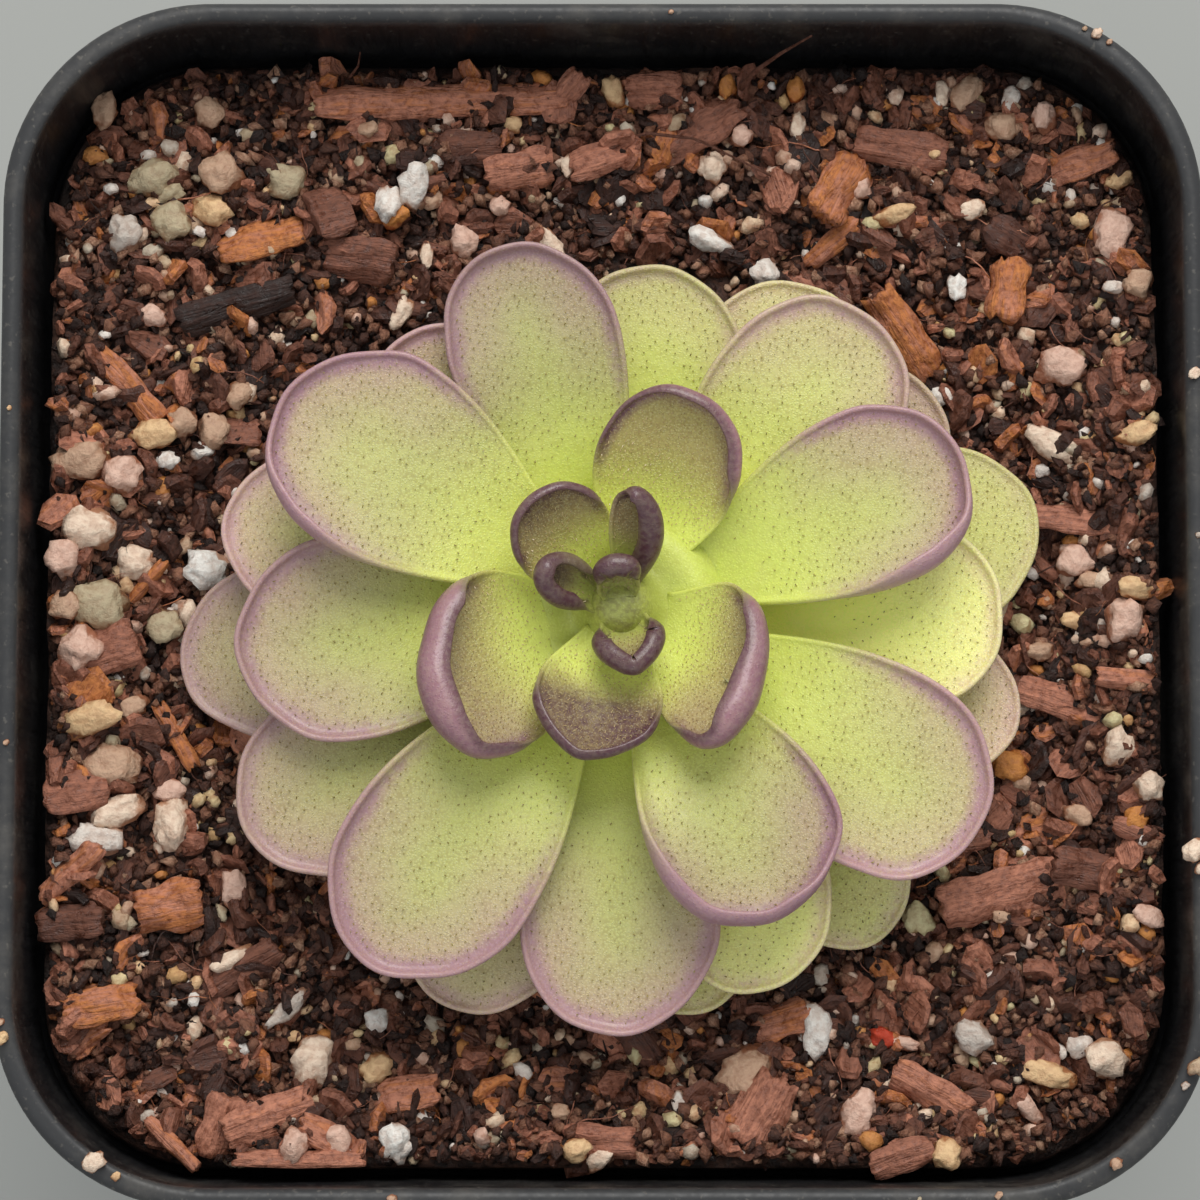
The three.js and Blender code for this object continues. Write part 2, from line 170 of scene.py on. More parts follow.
def addNode(tree, kind, inputs=None, **settings):
    node = tree.nodes.new(kind)
    for key, value in settings.items():
        setattr(node, key, value)
    for key, value in (inputs or {}).items():
        if isinstance(value, bpy.types.NodeSocket):
            tree.links.new(value, node.inputs[key])
        else:
            node.inputs[key].default_value = value
    return node


def maths(tree, operation, *values, clamp=False):
    return addNode(tree, "ShaderNodeMath", dict(enumerate(values)), operation=operation,
                   use_clamp=clamp).outputs[0]


def times(tree, a, b, clamp=False):
    return maths(tree, "MULTIPLY", a, b, clamp=clamp)


def plus(tree, a, b, clamp=False):
    return maths(tree, "ADD", a, b, clamp=clamp)


def span(tree, value, low, high, toLow=0.0, toHigh=1.0):     # eases from one value to the other
    return addNode(tree, "ShaderNodeMapRange", {0: value, 1: low, 2: high, 3: toLow, 4: toHigh},
                   interpolation_type="SMOOTHSTEP").outputs[0]


def blend(tree, share, a, b, how="MIX"):
    node = addNode(tree, "ShaderNodeMix", {0: share, 6: a, 7: b}, data_type="RGBA", blend_type=how)
    return node.outputs[2]


def mark(tree, label, kind="Fac"):      # one of the piece's own attributes
    return addNode(tree, "ShaderNodeAttribute", attribute_name=label).outputs[kind]


def noiseAt(tree, place, scale, detail, rough=0.5, twist=0.0):
    return addNode(tree, "ShaderNodeTexNoise", {"Vector": place, "Scale": scale, "Detail": detail,
                                                "Roughness": rough, "Distortion": twist}).outputs[0]


def feed(tree, sockets, values):        # links each value to the socket of its name
    for key, value in values.items():
        tree.links.new(value, sockets[key])


def ramp(tree, value, stops):
    node = addNode(tree, "ShaderNodeValToRGB", {0: value})
    items = node.color_ramp.elements
    while len(items) < len(stops):
        items.new(0.5)
    for item, (place, colour) in zip(items, stops):
        item.position = place
        item.color = colour
    return node.outputs[0]


def newTree(name, kind, inputs, outputs):    # a socket is its name, its kind and maybe its value
    tree = bpy.data.node_groups.new(name, kind)
    for side, sockets in (("INPUT", inputs), ("OUTPUT", outputs)):
        for label, holds, *value in sockets:
            socket = tree.interface.new_socket(label, in_out=side, socket_type="NodeSocket" + holds)
            if value:
                socket.default_value = value[0]
    return tree, tree.nodes.new("NodeGroupInput").outputs, tree.nodes.new("NodeGroupOutput").inputs


def newGroup(name, values, masks):      # a shader group that turns a place into masks
    inputs = [("Place", "Vector")] + [(label, "Float", value) for label, value in values.items()]
    return newTree(name, "ShaderNodeTree", inputs, [(label, "Float") for label in masks])


def useGroup(tree, group, **values):
    return addNode(tree, "ShaderNodeGroup", values, node_tree=group).outputs


def newFinish(name, values=None):       # a material, its tree, its shader's sockets and Object coordinates
    material = bpy.data.materials.new(name)
    material.use_nodes = True
    tree = material.node_tree
    shader = tree.nodes["Principled BSDF"]
    for key, value in (values or {}).items():
        shader.inputs[key].default_value = value
    return material, tree, shader.inputs, addNode(tree, "ShaderNodeTexCoord").outputs["Object"]


def bumpFrom(tree, height, depth, strength=1.0):
    return addNode(tree, "ShaderNodeBump", {"Strength": strength, "Distance": depth,
                                            "Height": height}).outputs[0]


# shared shader groups

def makeMottle():                       # soft cloudy patches
    tree, inside, out = newGroup("softMottle", {"Scale": 300.0, "Detail": 3.0}, ["Mask"])
    cloud = noiseAt(tree, inside["Place"], inside["Scale"], inside["Detail"], rough=0.55)
    feed(tree, out, {"Mask": span(tree, cloud, 0.3, 0.7)})
    return tree


def makeStipple():                      # the fine grains that cover a butterwort's leaf, light on dark
    tree, inside, out = newGroup("leafStipple", {"Scale": 5200.0}, ["Light", "Dark", "Height"])
    cell = addNode(tree, "ShaderNodeTexVoronoi", {"Vector": inside["Place"], "Scale": inside["Scale"],
                                                  "Randomness": 0.9}).outputs["Distance"]
    drift = noiseAt(tree, inside["Place"], 1700.0, 3.0)
    strength = span(tree, drift, 0.3, 0.62, 0.35, 1.0)
    grain = span(tree, cell, 0.12, 0.46, 1.0, 0.0)
    gap = span(tree, cell, 0.4, 0.72)
    feed(tree, out, {"Light": times(tree, grain, strength),
                     "Dark": times(tree, gap, strength), "Height": grain})
    return tree


def makeGrit():                         # rough crumbly relief and its dark pits
    tree, inside, out = newGroup("dampGrit", {"Scale": 1500.0}, ["Mask", "Height"])
    fine = noiseAt(tree, inside["Place"], inside["Scale"], 5.0, rough=0.65)
    coarse = noiseAt(tree, inside["Place"], times(tree, inside["Scale"], 0.3), 2.0)
    feed(tree, out, {"Mask": span(tree, fine, 0.35, 0.62), "Height": plus(tree, fine, coarse)})
    return tree


def makeFibre():                        # streaks along a chip, from its own place attribute
    tree, inside, out = newGroup("woodFibre", {"Streaks": 22.0}, ["Mask", "Height"])
    long = addNode(tree, "ShaderNodeMapping", {"Vector": inside["Place"], "Scale": (0.12, 1.0, 1.0)})
    streak = noiseAt(tree, long.outputs[0], inside["Streaks"], 4.0, rough=0.6, twist=0.4)
    feed(tree, out, {"Mask": span(tree, streak, 0.36, 0.64), "Height": streak})
    return tree


def makeDust():                         # pale dust that gathers in specks
    tree, inside, out = newGroup("driedDust", {"Amount": 0.3}, ["Mask"])
    film = span(tree, noiseAt(tree, inside["Place"], 160.0, 6.0, rough=0.7), 0.45, 0.75)
    speck = span(tree, noiseAt(tree, inside["Place"], 2600.0, 3.0), 0.6, 0.72)
    both = plus(tree, film, speck)
    feed(tree, out, {"Mask": times(tree, both, inside["Amount"], clamp=True)})
    return tree


mottle = makeMottle()
stipple = makeStipple()
grit = makeGrit()
fibre = makeFibre()
dust = makeDust()
print("shader groups ready")


# camera, light and floor

viewDesign = {                          # millimetres at the target and the distance, metres at the panels
    "tilt": 5.5,                        # degrees off straight down, towards the front
    "distance": 229.0,
    "lens": 119.1,
    "target": (-0.17, -0.18, 65.0),
    "floor": paint(166, 167, 163),
    "floorHalf": 2.0, "floorHeight": -0.00002,
    "key": {"size": 0.5, "power": 4.1, "place": (0.06, 0.47, 0.57), "colour": (1.0, 0.985, 0.955)},
    "fill": {"size": 0.7, "power": 0.55, "place": (-0.25, -0.35, 0.75), "colour": (0.95, 0.98, 1.0)},
    "panelsFace": (0, 0, 0.06),
    "sky": 0.56, "skyColour": (0.93, 0.97, 1.0, 1.0),
}


def makeCamera():
    tilt = math.radians(viewDesign["tilt"])
    back = Vector((0, -math.sin(tilt), math.cos(tilt)))
    camera = bpy.data.objects.new("camera", bpy.data.cameras.new("camera"))
    camera.data.lens = viewDesign["lens"]
    camera.data.clip_start, camera.data.clip_end = 0.01, 10
    camera.location = (Vector(viewDesign["target"]) + viewDesign["distance"] * back) * mm
    camera.rotation_euler = Euler((tilt, 0, 0))
    scene.collection.objects.link(camera)
    scene.camera = camera


def addPanel(name, size, power, place, colour):
    light = bpy.data.lights.new(name, "AREA")
    light.shape = "DISK"
    light.size = size
    light.energy = power
    light.color = colour
    panel = bpy.data.objects.new(name, light)
    panel.location = place
    facing = Vector(viewDesign["panelsFace"]) - Vector(place)
    panel.rotation_euler = facing.to_track_quat("-Z", "Y").to_euler()
    scene.collection.objects.link(panel)


def makeSky():
    world = bpy.data.worlds.new("softSky")
    world.use_nodes = True
    sky = world.node_tree.nodes["Background"].inputs
    sky["Color"].default_value = viewDesign["skyColour"]
    sky["Strength"].default_value = viewDesign["sky"]
    scene.world = world
    scene.view_settings.view_transform = "Standard"


def makeFloor():
    material, tree, shader, place = newFinish("paleBoard", {"Roughness": 0.85})
    cloud = useGroup(tree, mottle, Place=place, Scale=18.0, Detail=4.0)["Mask"]
    base = viewDesign["floor"]
    shaded = blend(tree, times(tree, cloud, 0.5), base, darker(base, 0.95))
    feed(tree, shader, {"Base Color": shaded})
    half, z = viewDesign["floorHalf"], viewDesign["floorHeight"]
    square = [(-half, -half, z), (half, -half, z), (half, half, z), (-half, half, z)]
    floor = makePiece("floor", square, [(0, 1, 2, 3)], material, roundShade=False)
    floor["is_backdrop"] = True


makeCamera()
addPanel("keyPanel", **viewDesign["key"])
addPanel("fillPanel", **viewDesign["fill"])
makeSky()
makeFloor()
print("camera, light and floor ready")


# pot

potDesign = {                           # mm. a profile point is the half width and the height
    "height": 65.0, "rimCorner": 12.0, "footCorner": 9.0, "aroundSteps": 320,
    "foot": [(25.6, 1.6), (25.6, 0.15), (25.75, 0.0), (26.85, 0.0), (27.02, 0.12), (27.3, 0.6)],
    "wall": [(27.3, 0.6), (33.4, 54.6)], "wallSteps": 12,
    "shoulder": [(33.38, 54.5), (33.48, 54.7), (34.2, 55.05), (34.42, 55.12), (34.5, 55.3)],
    "band": [(34.5, 55.3), (34.98, 64.3)], "bandSteps": 6,
    "lipMiddle": (34.405, 64.4), "lipBead": (0.595, 0.6), "lipSteps": 12,
    "inner": [(33.8, 64.3), (33.55, 55.6), (32.5, 54.0), (26.3, 3.7), (25.7, 3.0)], "innerSteps": 6,
    "ringInside": 26.0, "ringTop": 1.7, "ringInset": 1.4,     # corners are tighter inside the foot ring
    "lipInset": 1.0, "lipInsetRows": 7,                       # and inside the lip
    "floorUnder": 1.6, "floorTop": 3.0,
    "drain": {"radius": 2.75, "reach": 15.0, "depth": 8.0, "middle": 2.3, "sides": 40},
    "notch": (8.0, 4.0, 2.4), "notchReach": 26.3,
    "sharpAngle": 35,
}
plasticDesign = {
    # the walls' plastic is darkened as painted shade for the pot's shaded inner walls; the lip's grey is
    # lighter
    "shadedPlastic": paint(27, 27, 29), "lipPlastic": paint(56, 56, 57), "dust": paint(130, 124, 115),
    "dustAmount": 0.26, "wallDust": 0.35, "deepShare": 0.7,
    "dustFrom": 57.5 * mm, "dustFull": 64.8 * mm,              # heights between which the dust thickens
    "lipFrom": 63.6 * mm, "lipFull": 64.7 * mm,                # and between which the lighter grey lip starts; below it the darker plastic is painted shade
    "wornScale": 90.0, "scratchScale": 2400.0, "scratchDepth": 0.03 * mm,
}


def cornerAt(z, inset):
    return lerp(potDesign["footCorner"], potDesign["rimCorner"], z / potDesign["height"]) - inset


def squareRing(half, corner, z, count):
    turns = np.arange(count) * 2 * np.pi / count
    reach = squareReach(turns, half, corner)
    return np.stack([reach * np.cos(turns), reach * np.sin(turns), np.full(count, z)], 1)


def innerHalfAt(z):
    profile = potDesign["inner"]
    for (highHalf, high), (lowHalf, low) in zip(profile, profile[1:]):
        if z >= low:
            return lerp(lowHalf, highHalf, min(1.0, (z - low) / (high - low)))
    return profile[-1][0]


def makePotPlastic():
    d = plasticDesign
    material, tree, shader, place = newFinish("nurseryPlastic", {"Specular IOR Level": 0.3})
    depth = addNode(tree, "ShaderNodeSeparateXYZ", {0: place}).outputs[2]
    film = useGroup(tree, dust, Place=place, Amount=d["dustAmount"])["Mask"]
    dusty = times(tree, film, span(tree, depth, d["dustFrom"], d["dustFull"], d["wallDust"], 1.0))
    worn = useGroup(tree, mottle, Place=place, Scale=d["wornScale"], Detail=5.0)["Mask"]
    # the walls take the darker plastic, which is painted shade, mottled at random; the lip turns to the
    # lighter grey
    wall = blend(tree, worn, darker(d["shadedPlastic"], d["deepShare"]), d["shadedPlastic"])
    body = blend(tree, span(tree, depth, d["lipFrom"], d["lipFull"]), wall, d["lipPlastic"])
    drawn = addNode(tree, "ShaderNodeMapping", {"Vector": place, "Scale": (1.0, 1.0, 0.1),
                                                "Rotation": (0.2, 0.1, 0.4)}).outputs[0]
    scratch = noiseAt(tree, drawn, d["scratchScale"], 3.0)
    rough = plus(tree, span(tree, scratch, 0.3, 0.7, 0.34, 0.5), times(tree, dusty, 0.4))
    relief = bumpFrom(tree, plus(tree, scratch, dusty), d["scratchDepth"], 0.6)
    feed(tree, shader, {"Base Color": blend(tree, dusty, body, d["dust"]), "Roughness": rough,
                        "Normal": relief})
    return material


def between(first, last, steps):        # the points that cut a straight run into steps, without its ends
    return [tuple(lerp(a, b, step / steps) for a, b in zip(first, last)) for step in range(1, steps)]


def outerProfile():                     # from the floor's underside round the foot and up over the lip
    d = potDesign
    (middle, lipHeight), (out, up) = d["lipMiddle"], d["lipBead"]
    bead = []
    for step in range(d["lipSteps"] + 1):
        turn = math.pi * step / d["lipSteps"]
        bead.append((middle + out * math.cos(turn), lipHeight + up * math.sin(turn)))
    return (d["foot"] + between(*d["wall"], d["wallSteps"]) + d["shoulder"]
            + between(*d["band"], d["bandSteps"]) + bead)


def innerRows():
    profile, rows = potDesign["inner"], []
    for high, low in zip(profile, profile[1:]):
        rows += between(high, low, potDesign["innerSteps"]) + [low]
    return rows


def cornerInset(half, z, past):         # past: rows past the lip, negative before it
    d = potDesign
    if half < d["ringInside"] and z < d["ringTop"]:
        return d["ringInset"]
    return d["lipInset"] * float(smooth(0, 1, (past + d["lipInsetRows"]) / d["lipInsetRows"]))


def addCutters():                       # five drain holes, and a notch in each side of the foot ring
    drain, reach, cutters = potDesign["drain"], potDesign["notchReach"], []
    for x, y in ((0, 0), (1, 1), (-1, 1), (-1, -1), (1, -1)):
        place = (x * drain["reach"] * mm, y * drain["reach"] * mm, drain["middle"] * mm)
        bpy.ops.mesh.primitive_cylinder_add(vertices=drain["sides"], radius=drain["radius"] * mm,
                                            depth=drain["depth"] * mm, location=place)
        cutters.append(bpy.context.object)
    for side in range(4):
        turn = side * math.pi / 2
        place = (-reach * mm * math.sin(turn), reach * mm * math.cos(turn), 0)
        bpy.ops.mesh.primitive_cube_add(size=1, location=place, rotation=(0, 0, turn),
                                        scale=[size * mm for size in potDesign["notch"]])
        cutters.append(bpy.context.object)
    return cutters


def makePot():
    d = potDesign
    outer = outerProfile()
    rings = []
    for row, (half, z) in enumerate(outer + innerRows()):
        inset = cornerInset(half, z, row - len(outer))
        rings.append(squareRing(half, cornerAt(z, inset), z, d["aroundSteps"]))
    points, faces = skinRings(rings, (0, 0, d["floorUnder"]), (0, 0, d["floorTop"]))
    pot = makePiece("pot_shell", np.array(points) * mm, faces, makePotPlastic())
    tidyFaces(pot)
    cutters = addCutters()
    for cutter in cutters:
        cut = pot.modifiers.new("cut", "BOOLEAN")
        cut.operation, cut.solver, cut.object = "DIFFERENCE", "EXACT", cutter
    takeShape(pot)
    for cutter in cutters:
        bpy.data.objects.remove(cutter)
    pot.data.set_sharp_from_angle(angle=math.radians(d["sharpAngle"]))
    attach(pot, "root")
    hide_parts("pot")


makePot()
print("pot ready")


# geometry node trees: glands that stand on a leaf, and pieces that are strewn on the soil

def newGeometryTree(name, inputs):      # takes a mesh beside its own inputs, and gives a mesh
    mesh = ("Geometry", "Geometry")
    return newTree(name, "GeometryNodeTree", [mesh] + inputs, [mesh])


def randomBetween(tree, low, high, seed, vector=False):
    kind, first = ("FLOAT_VECTOR", 0) if vector else ("FLOAT", 2)
    return addNode(tree, "FunctionNodeRandomValue", {first: low, first + 1: high, "Seed": seed},
                   data_type=kind).outputs[0 if vector else 1]


def vectorFrom(tree, x=0.0, y=0.0, z=0.0):
    return addNode(tree, "ShaderNodeCombineXYZ", {0: x, 1: y, 2: z}).outputs[0]


def randomTurn(tree, lean, spin, seed):      # leans up to so far to either side, and spins about the upright
    back = times(tree, lean, -1.0)
    least, most = vectorFrom(tree, back, back), vectorFrom(tree, lean, lean, spin)
    turn = randomBetween(tree, least, most, seed, vector=True)
    return addNode(tree, "FunctionNodeEulerToRotation", {0: turn}).outputs[0]


def ownNumber(tree, label):                  # a number that each point of the source mesh carries
    return addNode(tree, "GeometryNodeInputNamedAttribute", {"Name": label}, data_type="FLOAT").outputs[0]


def finishInstances(tree, instances, inside, out, seedShift):
    tint = randomBetween(tree, 0.0, 1.0, plus(tree, inside["Seed"], seedShift))
    stored = addNode(tree, "GeometryNodeStoreNamedAttribute",
                     {"Geometry": instances, "Name": "tint", "Value": tint},
                     data_type="FLOAT", domain="INSTANCE")
    plain = addNode(tree, "GeometryNodeRealizeInstances", {"Geometry": stored.outputs[0]})
    dressed = addNode(tree, "GeometryNodeSetMaterial", {"Geometry": plain.outputs[0],
                                                        "Material": inside["Finish"]})
    feed(tree, out, {"Geometry": dressed.outputs[0]})


def makeGlandTree():
    tree, inside, out = newGeometryTree("standGlands", [
        ("Spacing", "Float"), ("Head radius", "Float"), ("Stalk radius", "Float"), ("Stalk length", "Float"),
        ("Lean", "Float"), ("Seed", "Int"), ("Finish", "Material")])
    crowding, smallest, largest = 2.2, 0.7, 1.25
    spaceSquared = times(tree, inside["Spacing"], inside["Spacing"])
    spots = addNode(tree, "GeometryNodeDistributePointsOnFaces", {
        "Mesh": inside["Geometry"], "Distance Min": inside["Spacing"],
        "Density Max": maths(tree, "DIVIDE", crowding, spaceSquared),
        "Density Factor": ownNumber(tree, "glandRoom"), "Seed": inside["Seed"]}, distribute_method="POISSON")
    stalk = addNode(tree, "GeometryNodeMeshCone", {
        "Vertices": 3, "Radius Top": times(tree, inside["Stalk radius"], 0.7),
        "Radius Bottom": times(tree, inside["Stalk radius"], 1.3),
        "Depth": inside["Stalk length"]})
    head = addNode(tree, "GeometryNodeMeshUVSphere", {"Segments": 4, "Rings": 3,
                                                      "Radius": inside["Head radius"]})
    lifted = addNode(tree, "GeometryNodeTransform", {
        "Geometry": head.outputs[0], "Translation": vectorFrom(tree, z=inside["Stalk length"])})
    both = addNode(tree, "GeometryNodeJoinGeometry")
    tree.links.new(stalk.outputs[0], both.inputs[0])
    tree.links.new(lifted.outputs[0], both.inputs[0])
    turned = addNode(tree, "FunctionNodeRotateRotation", {
        0: spots.outputs["Rotation"], 1: randomTurn(tree, inside["Lean"], 0.0, 3)}, rotation_space="LOCAL")
    placed = addNode(tree, "GeometryNodeInstanceOnPoints", {
        "Points": spots.outputs["Points"], "Instance": both.outputs[0], "Rotation": turned.outputs[0],
        "Scale": randomBetween(tree, smallest, largest, 5)})
    finishInstances(tree, placed.outputs[0], inside, out, 11.0)
    return tree


def makeStrewTree():
    tree, inside, out = newGeometryTree("strewPieces", [
        ("Per square metre", "Float"), ("Smallest", "Float"), ("Largest", "Float"), ("Tumble", "Float"),
        ("Sink", "Float"), ("Rise", "Float"), ("Shapes", "Collection"), ("Seed", "Int"),
        ("Finish", "Material")])
    seeds = [plus(tree, inside["Seed"], shift) for shift in (1.0, 2.0, 3.0)]
    density = times(tree, inside["Per square metre"], ownNumber(tree, "room"))
    spots = addNode(tree, "GeometryNodeDistributePointsOnFaces", {
        "Mesh": inside["Geometry"], "Density": density, "Seed": inside["Seed"]}, distribute_method="RANDOM")
    sunk = times(tree, inside["Sink"], -1.0)
    height = randomBetween(tree, sunk, inside["Rise"], seeds[0])
    moved = addNode(tree, "GeometryNodeSetPosition", {"Geometry": spots.outputs["Points"],
                                                      "Offset": vectorFrom(tree, z=height)})
    shapes = addNode(tree, "GeometryNodeCollectionInfo", {
        "Collection": inside["Shapes"], "Separate Children": True, "Reset Children": True})
    turned = randomTurn(tree, inside["Tumble"], 6.283, seeds[1])
    share = maths(tree, "POWER", randomBetween(tree, 0.0, 1.0, seeds[2]), 1.7)    # more small ones than large
    spread = maths(tree, "SUBTRACT", inside["Largest"], inside["Smallest"])
    placed = addNode(tree, "GeometryNodeInstanceOnPoints", {
        "Points": moved.outputs[0], "Instance": shapes.outputs[0], "Pick Instance": True, "Rotation": turned,
        "Scale": maths(tree, "MULTIPLY_ADD", spread, share, inside["Smallest"])})
    finishInstances(tree, placed.outputs[0], inside, out, 4.0)
    return tree


def growWith(tree, source, name, values):    # runs a tree on the source, which becomes the plain result
    modifier = source.modifiers.new(name, "NODES")
    modifier.node_group = tree
    for item in tree.interface.items_tree:
        if item.in_out == "INPUT" and item.name in values:
            modifier[item.identifier] = values[item.name]
    takeShape(source)
    source.name = name
    source.data.name = name
    return source


glandTree = makeGlandTree()
strewTree = makeStrewTree()
print("geometry node trees ready")


# leaves

leafDesign = {
    "youngCount": 9, "thickness": 0.62, "flarePower": 1.2, "sideShare": 0.45,
    "levelRadius": 16.0, "droop": 0.012,     # the grown blades climb to this radius and droop past it
    "base": 3.72, "rise": 1.2, "riseStep": 0.115, "cup": 0.1, "cupStep": 0.02,
    "grown": {"baseShare": 0.11, "widest": 0.68, "foot": 58.0, "footStep": 0.21, "rim": 0.36,
              "rollFrom": 0.04},
    "young": {"baseShare": 0.2, "widest": 0.58, "foot": 63.1, "footStep": 0.34, "rim": 0.28,
              "rollFrom": 0.25, "cup": 0.5},
    "flatRoll": 12.0, "fullRollAt": 0.52,    # near their feet the margins lie flat
    "wave": 0.075, "waveWidth": 11.0,        # how far the margin of a leaf of this width wanders, mm
    "deep": 0.75, "deepStep": 0.028,
    "heartPurple": 0.46, "heartShade": 0.87,
    "columns": 76, "bladeRows": 8, "rollRows": 9, "capRows": 4, "underRows": 5,
}
leafDefaults = {"curls": (0.504, 0.504, 0.504), "lift": 0.0, "sway": 0.0, "pinch": 0.0, "flush": (9.0, 10.0),
                "flushed": 0.0, "blush": 1.0, "toneAndLight": 1.0, "sides": (1.0, 1.0), "fresh": 0.0, "glow": 0.22}
# the rosette from the youngest leaf to the oldest. way: degrees from +X. reach and base: from the plant's
# axis, mm. foot, rise and lift: where the blade starts, how far it climbs, how much it is raised, mm. roll:
# how far the margin rolls over on the left, at the tip and on the right, degrees. curls: radius of that roll
# in the same three places, mm. rollFrom: where along the margin it starts. sway: how far the tip bends to the
# left, mm. pinch: how pointed the tip is. widest: where along its length the blade is widest. flush: share of
# the blade's length at which a young leaf starts to turn purple, and at which it is as purple as it gets.
# flushed: how far that goes. deep: how dark the purple is. blush: how pink the blade gets towards its margin.
# rimmed: how purple the rim is, and sides: that share on the left and on the right. fresh: how much greener
# the blade is than its neighbours. tone: how light the leaf is, partly its own colour and partly painted
# light and shade that lifts leaves lying in their neighbours' shadow. glow: how much lighter its inner part
# is, painted light against the shade in the middle of the rosette
leaves = [
    dict(way=97, reach=2.7, width=2.8, base=0.3, rise=2.2, roll=(185, 170, 185), curls=(0.4, 0.42, 0.4),
         rollFrom=0.12, flush=(0.3, 0.9), flushed=0.7, deep=0.95),
    dict(way=282, reach=4.4, width=4.3, base=0.6, foot=65.1, rise=3.1, roll=(170, 160, 170),
         curls=(0.4, 0.36, 0.44), rollFrom=0.02, pinch=0.34, widest=0.4, baseHalf=0.95, flush=(0.35, 0.9),
         flushed=0.8, deep=1.0),
    dict(way=160, reach=5.2, width=3.2, base=0.9, rise=3.4, roll=(165, 160, 130), curls=(0.4, 0.4, 0.3),
         rollFrom=0.0, flush=(0.3, 0.9), flushed=0.8, deep=1.0, sides=(1.0, 0.8)),
    dict(way=72, reach=6.4, width=3.1, base=1.2, rise=4.0, roll=(30, 150, 178), curls=(0.2, 0.44, 0.54),
         rollFrom=-0.12, sway=0.9, flush=(0.5, 1.1), flushed=0.4, deep=1.0, sides=(0.1, 1.0)),
    dict(way=257, reach=9.4, width=7.4, base=1.5, rise=4.6, roll=(110, 120, 130), curls=(0.2, 0.24, 0.24),
         pinch=0.3, flush=(0.36, 0.6), flushed=0.74, deep=1.0),
    dict(way=131, reach=7.9, width=6.0, base=1.8, rise=4.4, roll=(110, 120, 120), curls=(0.18, 0.18, 0.18),
         flush=(0.5, 1.0), flushed=0.62, deep=0.95, blush=0.5, toneAndLight=1.12),
    dict(way=332, reach=9.7, width=9.0, base=2.1, rise=4.6, roll=(150, 178, 140), curls=(0.6, 0.85, 0.3),
         sway=-2.2, flush=(0.45, 1.2), flushed=0.45, deep=0.45, toneAndLight=1.04, glow=0.1),
    dict(way=202, reach=12.6, width=10.3, base=2.4, rise=4.8, roll=(140, 182, 165), curls=(0.45, 0.95, 0.8),
         sway=1.8, flush=(0.3, 1.1), flushed=0.5, deep=0.4, blush=0.8),
    dict(way=71, reach=12.8, width=8.4, base=2.7, rise=4.8, roll=(80, 135, 155), curls=(0.22, 0.32, 0.42),
         flush=(0.6, 1.3), flushed=0.06, deep=0.36, blush=0.3, toneAndLight=1.14),
    dict(way=298, reach=20.2, width=11.0, roll=(75, 135, 155), curls=(0.35, 0.66, 0.66), deep=1.0,
         fresh=-0.28, toneAndLight=0.95),
    dict(way=149, reach=22.7, width=12.0, lift=0.4, roll=(140, 80, 60), curls=(0.6, 0.4, 0.3), deep=0.9,
         fresh=-0.3),
    dict(way=22.5, reach=21.5, width=10.6, roll=(60, 85, 150), curls=(0.3, 0.55, 0.85), deep=0.8, glow=0.1),
    dict(way=235, reach=25.2, width=11.8, roll=(65, 75, 85), toneAndLight=0.98),
    dict(way=108.5, reach=22.0, width=10.0, roll=(65, 75, 65), toneAndLight=0.81, glow=0.36),
    dict(way=327.5, reach=24.4, width=11.8, roll=(70, 75, 65), blush=0.7, fresh=0.1, toneAndLight=1.1, glow=0.0),
    dict(way=187, reach=22.2, width=11.8, roll=(65, 75, 65), toneAndLight=0.93),
    dict(way=48, reach=22.4, width=11.2, roll=(60, 70, 75), rimmed=0.7, blush=0.6, fresh=0.1, toneAndLight=1.11,
         glow=0.36),
    dict(way=269.5, reach=24.7, width=11.5, roll=(60, 70, 65), rimmed=1.0, toneAndLight=1.0),
    dict(way=130, reach=20.2, width=10.4, roll=(55, 60, 55), fresh=-0.2, toneAndLight=1.18),
    dict(way=358.5, reach=22.3, width=11.0, roll=(60, 65, 55), rimmed=0.3, blush=0.3, fresh=0.5, toneAndLight=1.6,
         glow=0.0),
    dict(way=211.5, reach=25.3, width=11.4, roll=(55, 65, 55), toneAndLight=0.97),
    dict(way=83, reach=20.3, width=10.4, roll=(55, 60, 55), rimmed=0.35, blush=0.4, fresh=0.45, toneAndLight=1.06),
    dict(way=293, reach=23.8, width=10.4, roll=(50, 60, 50), rimmed=0.35, blush=0.3, fresh=0.6, toneAndLight=1.58,
         glow=0.3),
    dict(way=166, reach=23.8, width=10.6, roll=(50, 55, 50), fresh=0.15, toneAndLight=1.28),
    dict(way=34, reach=22.4, width=10.4, lift=0.4, roll=(50, 55, 50), rimmed=0.4, toneAndLight=1.08),
    dict(way=247, reach=25.2, width=10.4, lift=0.25, roll=(45, 50, 45), rimmed=0.6, blush=0.7, toneAndLight=1.24),
    dict(way=343.6, reach=24.2, width=10.2, lift=0.3, roll=(45, 50, 45), rimmed=0.3, fresh=0.3, toneAndLight=1.36),
    dict(way=56.5, reach=22.8, width=10.4, lift=-0.2, roll=(45, 50, 45), rimmed=0.3, blush=0.5, fresh=0.15,
         toneAndLight=1.3),
    dict(way=281, reach=23.9, width=9.6, lift=0.2, roll=(40, 45, 40), rimmed=0.3, blush=0.3, fresh=0.45,
         toneAndLight=1.38),
    dict(way=13.5, reach=25.5, width=11.0, roll=(40, 45, 40), rimmed=0.2, blush=0.3, fresh=0.4, toneAndLight=1.2),
    dict(way=310, reach=24.6, width=9.4, lift=-0.45, roll=(40, 45, 40), rimmed=0.4, blush=0.3, fresh=0.35,
         toneAndLight=1.4),
    dict(way=186, reach=26.2, width=11.2, roll=(40, 45, 40), toneAndLight=0.92),
    dict(way=4, reach=23.2, width=9.0, lift=-0.35, roll=(35, 40, 35), rimmed=0.3, fresh=0.2, toneAndLight=1.25),
]


